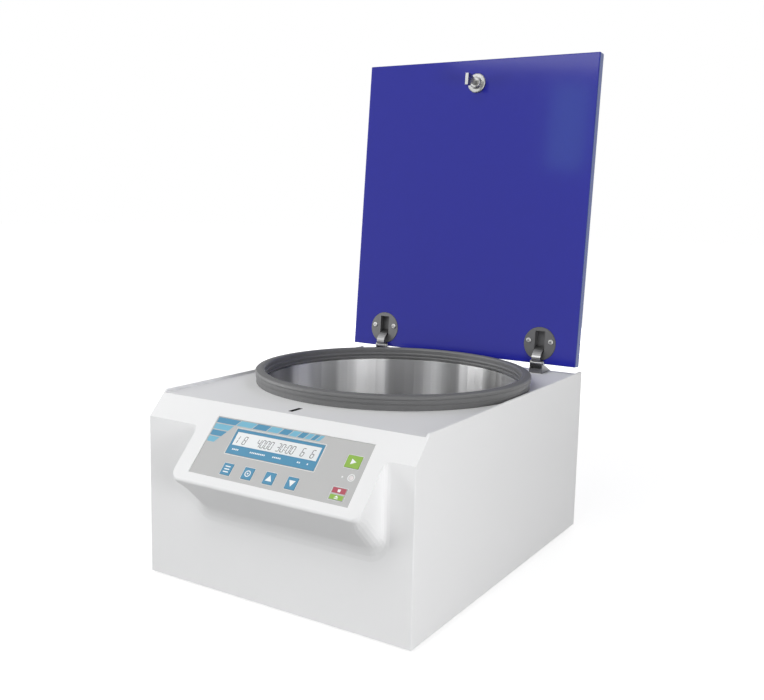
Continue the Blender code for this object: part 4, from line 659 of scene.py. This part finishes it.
# %% The printed bars of the keypad film
FILM_LEFT = -0.0898
BAR_TOP = 0.0262
BAR_LENGTH = 0.0076
BAR_WIDTH = 0.0300
BAR_SLANT = 0.0052
BAR_COUNT = 10
BAR_SHARE = 0.82
BAR_GAP = 0.0014
ROW_WIDTHS = (0.0236, 0.0176, 0.0112)
ROW_GAP = 0.0014


def slanted(x, y, width, length, square_left):
    """A bar that leans to the right, with its left end square where it meets the film's edge."""
    return [(x + (0 if square_left else BAR_SLANT), y), (x + width + BAR_SLANT, y), (x + width, y - length),
            (x, y - length)]


bars = {"dark": [], "light": []}
edge, width = FILM_LEFT, BAR_WIDTH
for number in range(BAR_COUNT):
    bars["light" if number % 2 else "dark"].append(slanted(edge, -BAR_TOP, width, BAR_LENGTH, number == 0))
    edge += width + BAR_GAP
    width *= BAR_SHARE
for row, width in enumerate(ROW_WIDTHS):
    y = -BAR_TOP - (row + 1) * (BAR_LENGTH + ROW_GAP)
    bars["dark" if row % 2 else "light"].append(slanted(FILM_LEFT, y, width, BAR_LENGTH, True))
for shade, ink in (("dark", blue_film), ("light", light_blue_film)):
    printed(f"film_bars_{shade}", bars[shade], OVERLAY_LEVEL, ink)

# %% [markdown]
# The display shows plain numbers in seven slanted segments. Each figure is a pattern of lit bars, so a
# short table of letters is enough: a is the top bar, b and c are on the right, d is the bottom, e and f
# are on the left and g is the middle.

# %% Seven-segment figures
LIT = {"0": "abcdef", "1": "bc", "2": "abdeg", "3": "abcdg", "4": "bcfg", "6": "acdefg", "8": "abcdefg"}
ITALIC = 0.16
CUT_SHARE = 0.6
FIGURE_LOW = -0.0565
FIGURE_SIZE = (0.0040, 0.0104, 0.00085)
READINGS = (("1", -0.0492), ("8", -0.0372), ("4", -0.0158), ("0", -0.0096), ("0", -0.0034), ("0", 0.0028),
            ("3", 0.0140), ("0", 0.0202), ("0", 0.0288), ("0", 0.0350), ("6", 0.0500), ("6", 0.0640))
COLON_X = 0.0266
COLON_SHARES = (0.3, 0.7)
DOT_RADIUS = 0.00055


def figure(digit, x, y, width, height, stroke):
    """Outlines of one figure's bars, with its lower left corner at x, y."""
    half, side, cut = height / 2, stroke / 2, stroke * CUT_SHARE
    bars = {"a": (0, height, width, height), "b": (width, half, width, height),
            "c": (width, 0, width, half), "d": (0, 0, width, 0), "e": (0, 0, 0, half),
            "f": (0, half, 0, height), "g": (0, half, width, half)}
    outlines = []
    for x0, y0, x1, y1 in (bars[name] for name in LIT[digit]):
        if y0 == y1:
            shape = [(x0 + cut, y0 - side), (x1 - cut, y0 - side), (x1 - cut / 3, y0), (x1 - cut, y0 + side),
                     (x0 + cut, y0 + side), (x0 + cut / 3, y0)]
        else:
            shape = [(x0 - side, y0 + cut), (x0, y0 + cut / 3), (x0 + side, y0 + cut), (x0 + side, y1 - cut),
                     (x0, y1 - cut / 3), (x0 - side, y1 - cut)]
        outlines.append([(x + px + ITALIC * py, y + py) for px, py in shape])
    return outlines


def circle(x, y, radius, steps=24):
    return [(x + radius * math.cos(math.tau * i / steps), y + radius * math.sin(math.tau * i / steps))
            for i in range(steps)]


segments = []
for digit, x in READINGS:
    segments += figure(digit, x, FIGURE_LOW, *FIGURE_SIZE)
for share in COLON_SHARES:
    rise = FIGURE_SIZE[1] * share
    segments.append(circle(COLON_X + ITALIC * rise, FIGURE_LOW + rise, DOT_RADIUS, 10))
printed("display_figures", segments, SCREEN_LEVEL, segment_ink)

# %% [markdown]
# Under the figures the blue frame has short rows of pale dashes, one for each reading, and a hairline
# runs round the frame.

# %% Marks and hairlines of the display
MARKS = ((-0.0455, 4), (-0.0180, 9), (0.0160, 5), (0.0520, 2), (0.0660, 1))
MARK_PITCH = 0.0026
MARK_T = 0.0650
MARK_SIZE = (0.0018, 0.0020, 0.0004)
HAIRLINE_CORNER = 0.0006
FRAME_MIDDLE = (0.0122, 0.0545)
FRAME_SIZE = (0.131, 0.0342)
FRAME_HAIRLINE = (0.0011, 0.0005)


def hairline(middle, size, line):
    """A thin frame round a rectangle, with a middle at x and t, a margin and a thickness."""
    (x, t), (width, length), (margin, thick) = middle, size, line
    return [rounded(x, -t, width + 2 * grown, length + 2 * grown, HAIRLINE_CORNER + grown - margin)
            for grown in (margin + thick, margin)]


dashes = [rounded(start + number * MARK_PITCH, -MARK_T, *MARK_SIZE, 2)
          for start, count in MARKS for number in range(count)]
printed("display_marks", dashes, OVERLAY_LEVEL)
printed("display_hairline", [hairline(FRAME_MIDDLE, FRAME_SIZE, FRAME_HAIRLINE)], OVERLAY_LEVEL, shape=frames)

# %% [markdown]
# Each key carries a white sign: a list, a dial, an arrow up, an arrow down and a start triangle. The signs
# ride on their keys, so they sink with them when pressed.

# %% Key signs
KEYS = {"key_mode": (-0.0384, 0.0920), "key_set": (-0.0064, 0.0920), "key_up": (0.0256, 0.0920),
        "key_down": (0.0576, 0.0920), "key_start": (0.1229, 0.0510), "key_stop_open": (0.1216, 0.0922)}
LIST_BAR = (0.0078, 0.0014, 0.0005)
LIST_PITCH = 0.0036
DIAL_RADII = ((0.0042, 0.0030), (0.0012, 0.0002))
ARROW = (0.0045, -0.0036, 0.0044)
START_BACK, START_HALF, START_TIP = 0.0030, 0.0036, 0.0040


def triangle(x, y, half, base, tip):
    """An arrow's outline from half its width and the heights of its base and its tip over y."""
    return [(x - half, y + base), (x + half, y + base), (x, y + tip)]


x, t = KEYS["key_mode"]
printed("sign_mode", [rounded(x, -t + step * LIST_PITCH, *LIST_BAR, 3) for step in (-1, 0, 1)], KEY_LEVEL,
        body="key_mode")
x, t = KEYS["key_set"]
dial = [(circle(x, -t, outer), circle(x, -t, inner)) for outer, inner in DIAL_RADII]
printed("sign_set", dial, KEY_LEVEL, body="key_set", shape=frames)
half, base, tip = ARROW
for way, name in ((1, "up"), (-1, "down")):
    x, t = KEYS[f"key_{name}"]
    printed(f"sign_{name}", [triangle(x, -t, half, way * base, way * tip)], KEY_LEVEL, body=f"key_{name}")
x, t = KEYS["key_start"]
start = [(x - START_BACK, -t - START_HALF), (x + START_TIP, -t), (x - START_BACK, -t + START_HALF)]
printed("sign_start", [start], KEY_LEVEL, body="key_start")

# %% [markdown]
# The stop and open key is one pad with two printed halves: red for stop above green for open. A square
# means stop, and an arrow over a bar means open. The white signs lie on the coloured ink.

# %% The stop and open key
RED_T, GREEN_T = 0.0884, 0.0966
RED_SIZE = (0.0178, 0.0068, 0.0005)
GREEN_SIZE = (0.0178, 0.0058, 0.0005)
STOP_SQUARE = (0.0036, 0.0036, 0.0003)
OPEN_ARROW = (0.0026, -0.0003, 0.0021)
OPEN_BAR_DROP = 0.0016
OPEN_BAR = (0.0052, 0.0009, 0.0002)

x = KEYS["key_stop_open"][0]
opening = [triangle(x, -GREEN_T, *OPEN_ARROW), rounded(x, -GREEN_T - OPEN_BAR_DROP, *OPEN_BAR, 2)]
for name, outlines, level, ink in (
        ("patch_stop", [rounded(x, -RED_T, *RED_SIZE)], KEY_LEVEL, red_film),
        ("patch_open", [rounded(x, -GREEN_T, *GREEN_SIZE)], KEY_LEVEL, green_film),
        ("sign_stop", [rounded(x, -RED_T, *STOP_SQUARE, 2)], KEY_LEVEL + INK, white_ink),
        ("sign_open", opening, KEY_LEVEL + INK, white_ink)):
    printed(name, outlines, level, ink, "key_stop_open")

# %% [markdown]
# Thin pale outlines round the keys and the lamp, and a dot beside it, finish the film.

# %% Outlines round the keys and the lamp
SMALL_KEY = (0.0143, 0.0152)
LARGE_KEYS = {"key_start": (0.0190, 0.0156), "key_stop_open": (0.0190, 0.0150)}
KEY_HAIRLINE = (0.0006, 0.00035)
LAMP_MIDDLE = (0.1288, -0.0703)
LAMP_RADII = (0.0046, 0.0036)
LAMP_DOT = (0.1172, -0.0712, 0.0011)

outlines = [hairline(middle, LARGE_KEYS.get(key, SMALL_KEY), KEY_HAIRLINE) for key, middle in KEYS.items()]
outlines.append([circle(*LAMP_MIDDLE, radius) for radius in LAMP_RADII])
printed("key_hairlines", outlines, OVERLAY_LEVEL, shape=frames)
printed("lamp_dot", [circle(*LAMP_DOT)], OVERLAY_LEVEL)

# %% [markdown]
# The hinge screws are solids already and only need a dark cross in their heads: a flat mark of painted shade
# that stands in for the shade inside the cross recess. The flat end of each one is found by looking for the
# points that lie furthest along the lid's front direction.

# %% Crosses in the hinge screws
CROSS_SIZE = (0.0020, 0.00035)
FLAT_LIMIT = 0.00005
UPRIGHT_LIMIT = 0.99

# Painted shade: the dark crosses stand in for the shade inside cross recesses.
painted_recess_shade = grainy("painted_recess_shade", [], (0.03, 0.03, 0.032), scale=300.0, shade=0.03, rough=0.6)


def cross(name, matrix, reach, half, body):
    """Two crossing bars of painted shade for a cross recess, as a single twelve-cornered outline."""
    outline = [(half, half), (half, reach), (-half, reach), (-half, half), (-reach, half), (-reach, -half),
               (-half, -half), (-half, -reach), (half, -reach), (half, -half), (reach, -half), (reach, half)]
    attach(plates(name, [outline], -SINK, INK, matrix), painted_recess_shade, body)


def facing_matrix(middle, outwards):
    """A frame at a point whose Z axis points outwards and whose X axis stays level."""
    z = Vector(outwards).normalized()
    x = Vector((0, 0, 1)).cross(z).normalized() if abs(z.z) < UPRIGHT_LIMIT else Vector((1, 0, 0))
    matrix = Matrix((x, z.cross(x), z)).transposed().to_4x4()
    matrix.translation = middle
    return matrix


def end_of(name, outwards):
    """The middle of the flat end of a solid that lies furthest in one direction."""
    mesh = solids[name].data
    reach = max(vertex.co.dot(outwards) for vertex in mesh.vertices)
    ends = [vertex.co for vertex in mesh.vertices if vertex.co.dot(outwards) > reach - FLAT_LIMIT]
    return sum(ends, Vector()) / len(ends)


for name in matching(solids, "hinge_screw_*"):
    cross(name + "_cross", facing_matrix(end_of(name, LID_FRONT), LID_FRONT), *CROSS_SIZE, "lid")

# %% [markdown]
# The back needs its own fasteners. A cross-head screw is a short section swept round its axis to a dome, with
# a cross of painted shade in its top. A ray sent at a solid finds the place and the direction of its surface,
# so each screw stands exactly on the sheet that it holds.

# %% Screws of the rear panel and the fan
PANEL_SCREW_X = (-0.186, 0.0, 0.186)
PANEL_SCREW_Z = (0.020, 0.222)
FAN_MIDDLE = (-0.135, 0.110)
FAN_PITCH = 0.0715
SCREW_RADIUS, SCREW_HEIGHT = 0.0034, 0.0016
DOME_SHARES = ((1.0, 0.0), (1.0, 0.35), (0.86, 0.75), (0.60, 1.0))
CROSS_SHARE, CROSS_HALF = 0.55, 0.0004
SCREW_STEPS = 20
FAR = 1.0


def on_surface(name, start, direction):
    """A frame standing on the first place of a solid that a ray meets."""
    mesh = solids[name].data
    tree = BVHTree.FromPolygons([v.co for v in mesh.vertices], [f.vertices for f in mesh.polygons])
    return facing_matrix(*tree.ray_cast(Vector(start), Vector(direction))[:2])


def panel_screw(name, x, z):
    """A domed head with a cross in its top, standing on the rear panel."""
    matrix = on_surface("rear_panel", (x, FAR, z), (0, -1, 0))
    dome = [(SCREW_RADIUS * wide, SCREW_HEIGHT * high) for wide, high in DOME_SHARES]
    head = swept(name, [(0, 0), *dome, (0, SCREW_HEIGHT)], SCREW_STEPS, matrix)
    attach(head, screw_steel, "cabinet")
    cross(name + "_cross", matrix @ Matrix.Translation((0, 0, SCREW_HEIGHT)), SCREW_RADIUS * CROSS_SHARE,
          CROSS_HALF, "cabinet")


for number, (z, x) in enumerate(product(PANEL_SCREW_Z, PANEL_SCREW_X), 1):
    panel_screw(f"panel_screw_{number}", x, z)
fan_sides = [(middle - FAN_PITCH / 2, middle + FAN_PITCH / 2) for middle in FAN_MIDDLE]
for number, (x, z) in enumerate(product(*fan_sides), 1):
    panel_screw(f"fan_screw_{number}", x, z)

# %% [markdown]
# The power inlet has three flat pins deep in its socket, and the switch above it the usual line for on
# and ring for off. The marks ride on the rocker, so they tilt with it.

# %% Inlet pins and switch marks
INLET_X = 0.150
SOCKET_Z = 0.061
SWITCH_Z = 0.089
PINS = {"inlet_pin_1": (-0.007, 0.0), "inlet_pin_8": (0.0, 0.004), "inlet_pin_15": (0.007, 0.0)}
PIN_SIZE = (0.0022, 0.0048, 0.0005)
PIN_LENGTH = 0.0110
MARK_X = 0.001
MARK_RISE = 0.0052
ON_LINE = (0.0008, 0.0048, 0.0003)
OFF_RADII = (0.0024, 0.0017)

for name, (x, z) in PINS.items():
    matrix = on_surface("power_inlet", (INLET_X + x, FAR, SOCKET_Z + z), (0, -1, 0))
    print(name, "stands at", [round(v, 4) for v in matrix.translation])
    pin = plates(name, [rounded(0, 0, *PIN_SIZE, 2)], -SINK, PIN_LENGTH, matrix)
    attach(pin, screw_steel, "cabinet")
for name, way, shape, outlines in (("on", 1, plates, [rounded(0, 0, *ON_LINE, 2)]),
                                   ("off", -1, frames, [[circle(0, 0, radius) for radius in OFF_RADII]])):
    matrix = on_surface("power_rocker", (INLET_X + MARK_X, FAR, SWITCH_Z + way * MARK_RISE), (0, -1, 0))
    attach(shape(f"switch_mark_{name}", outlines, -SINK, INK, matrix), white_ink, "power_rocker")

# %% [markdown]
# The four places of the rotor are numbered, so that opposite buckets can be loaded alike. The numbers are
# the display's figures again, printed on the hub between the nut and the hub's edge.

# %% Numbers on the rotor
NUMBER_OUT = 0.0178
NUMBER_SIZE = (0.0030, 0.0054, 0.0009)

width, height, stroke = NUMBER_SIZE
for number in range(1, 5):
    turn = math.tau * (number - 1) / 4
    x, y = NUMBER_OUT * math.cos(turn), NUMBER_OUT * math.sin(turn)
    matrix = on_surface("rotor_head", (bowl_centre[0] + x, bowl_centre[1] + y, FAR), (0, 0, -1))
    print("number", number, "at height", round(matrix.translation.z, 4))
    outlines = figure(str(number), -width / 2, -height / 2, width, height, stroke)
    mark = plates(f"rotor_number_{number}", outlines, -SINK, INK,
                  matrix @ Matrix.Rotation(turn - math.pi / 2, 4, "Z"))
    attach(mark, white_ink, "rotor")

# %% [markdown]
# The floor is a wide pale sheet. It has to look white to the camera without throwing more light on the
# cabinet, so its colour stays a middle grey, and a glow is added only for the rays of the camera, of
# mirrors and of glass. Near the cabinet the glow is weaker, so the shadow stays.

# %% Floor
FLOOR_SIZE = 12.0
FLOOR_GREY = 0.42
GLOW = {"From Min": 0.7, "From Max": 1.8, "To Min": 0.75, "To Max": 1.0}


def background_rays(tree):
    """One for the rays of the camera, of mirrors and of glass, and zero for the rest."""
    rays = node(tree, "ShaderNodeLightPath").node.outputs
    return maths(tree, "MAXIMUM", rays["Is Camera Ray"],
                 maths(tree, "MAXIMUM", rays["Is Glossy Ray"], rays["Is Transmission Ray"]))


corners = [(x, y, 0) for x, y in product((-FLOOR_SIZE, FLOOR_SIZE), repeat=2)]
floor = link_mesh("floor", corners, [[0, 2, 3, 1]])
floor_material = bpy.data.materials.new("studio_floor")
floor_material.use_nodes = True
tree = floor_material.node_tree
tree.nodes.remove(tree.nodes["Principled BSDF"])
place = node(tree, "ShaderNodeTexCoord", output="Object")
away = node(tree, "ShaderNodeVectorMath", (place,), "Value", operation="LENGTH")
fade = node(tree, "ShaderNodeMapRange", {"Value": away, **GLOW}, "Result", interpolation_type="SMOOTHSTEP")
glow = node(tree, "ShaderNodeEmission", {"Strength": maths(tree, "MULTIPLY", background_rays(tree), fade)})
matte = node(tree, "ShaderNodeBsdfDiffuse", {"Color": (FLOOR_GREY, FLOOR_GREY, FLOOR_GREY, 1.0)})
feed(tree, tree.nodes["Material Output"].inputs["Surface"], node(tree, "ShaderNodeAddShader", (matte, glow)))
floor.data.materials.append(floor_material)
print("floor is", 2 * FLOOR_SIZE, "m wide")

# %% [markdown]
# The room beyond the floor is white to the same rays. To all others it is nearly dark, so the lamps alone
# light the object.

# %% World
AMBIENT = 0.03

world = bpy.data.worlds.new("studio")
bpy.context.scene.world = world
world.use_nodes = True
tree = world.node_tree
background = tree.nodes["Background"].inputs
background["Color"].default_value = (1.0, 1.0, 1.0, 1.0)
feed(tree, background["Strength"], maths(tree, "MULTIPLY_ADD", background_rays(tree), 1 - AMBIENT, AMBIENT))
print("the world's ambient strength is", AMBIENT)

# %% [markdown]
# Eight soft lamps make the plain light of a studio. Two hang high in front, so the sloping face is the
# brightest and the underside of the console stays in shade. Two at the left light the front, and two at
# the right make the long side fade from its near corner to its far one. A weak one high behind the right
# side lights the deck, and one behind lights the back for other views. That one and the low one at the
# right are hidden from mirror rays, or else the gloss lid would show them as white patches.

# %% Lamps
TARGET = (0.0, 0.0, 0.25)
LAMPS = {"front_lamp": ((0.0, -1.7, 2.2), (1.2, 1.2), 17.0, True),
         "key_lamp": ((-0.7, -2.0, 2.0), (1.2, 1.2), 14.5, True),
         "left_lamp": ((-2.2, -0.6, 1.2), (2.2, 2.2), 23.0, True),
         "low_left_lamp": ((-2.3, -1.1, 0.5), (1.8, 0.9), 21.0, True),
         "right_lamp": ((1.6, -0.74, 0.34), (0.6, 0.6), 13.6, False),
         "right_front_lamp": ((1.6, -1.1, 0.9), (1.0, 1.0), 5.2, True),
         "top_lamp": ((0.9, 1.1, 2.0), (0.8, 0.8), 4.5, True),
         "rear_lamp": ((-0.7, 2.4, 0.8), (1.4, 1.4), 34.0, False)}


def lamp(name, place, target, size, power, mirrored=True):
    """A soft rectangular lamp at a place, turned towards a target."""
    data = bpy.data.lights.new(name, "AREA")
    data.shape = "RECTANGLE"
    data.size, data.size_y = size
    data.energy = power
    thing = bpy.data.objects.new(name, data)
    bpy.context.scene.collection.objects.link(thing)
    thing.location = place
    thing.rotation_euler = (Vector(target) - Vector(place)).to_track_quat("-Z", "Y").to_euler()
    thing.visible_glossy = mirrored
    print(name, "at", [round(v, 2) for v in place], "with", power, "W")
    return thing


for name, (place, size, power, mirrored) in LAMPS.items():
    lamp(name, place, TARGET, size, power, mirrored)

# %% [markdown]
# The camera stands to the right of the keypad, a little above the lid's middle, and looks down by about
# eight degrees. Its place, its turn and its lens were worked out from the corners and edges of the real
# instrument, so the straight edges line up with it. An unturned camera looks straight down, so it is first
# lifted by a right angle less its drop. The small shift moves the lens's middle off the picture's middle.

# %% Camera
VIEW_TURN = math.radians(32.21)
VIEW_DROP = math.radians(8.34)
VIEW_ROLL = math.radians(1.18)
CAMERA_SIDE = 0.6793
CAMERA_AHEAD = 1.1082
CAMERA_HEIGHT = 0.4981
CAMERA_LENS = {"sensor_width": 36.0, "lens": 44.09, "shift_x": 0.0123, "shift_y": -0.0169}

camera_data = bpy.data.cameras.new("camera")
for label, value in CAMERA_LENS.items():
    setattr(camera_data, label, value)
camera = bpy.data.objects.new("camera", camera_data)
bpy.context.scene.collection.objects.link(camera)
camera.matrix_world = (Matrix.Translation((CAMERA_SIDE, cabinet_middle - CAMERA_AHEAD, CAMERA_HEIGHT))
                       @ Matrix.Rotation(VIEW_TURN, 4, "Z")
                       @ Matrix.Rotation(math.pi / 2 - VIEW_DROP, 4, "X")
                       @ Matrix.Rotation(VIEW_ROLL, 4, "Z"))
bpy.context.scene.camera = camera
bpy.context.scene.view_settings.view_transform = "Standard"
print("camera at", [round(v, 3) for v in camera.location], "with a lens of", camera_data.lens, "mm")

# %% [markdown]
# The blue laminate mirrors a window at its upper right. Light leaves a mirror at the angle at which it
# came, so the camera's line of sight to one spot of the lid, folded there, leads to where the window must
# stand. It is so weak that it adds nothing to the light on the cabinet.

# %% A window for the lid to mirror
WINDOW_SPOT = (0.158, 0.612)
WINDOW_AWAY = 2.5
WINDOW_SIZE = (0.15, 0.34)
WINDOW_POWER = 0.18
WINDOW_COLOUR = (0.40, 1.00, 0.90)

lid_start = (WINDOW_SPOT[0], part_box("lid_panel")[0][1] - FAR, WINDOW_SPOT[1])
lid_face = on_surface("lid_panel", lid_start, (0, 1, 0)).translation
sight = (lid_face - camera.location).normalized()
folded = sight - 2 * sight.dot(LID_FRONT) * LID_FRONT
window = lamp("window", tuple(lid_face + folded * WINDOW_AWAY), tuple(lid_face), WINDOW_SIZE, WINDOW_POWER)
window.data.color = WINDOW_COLOUR
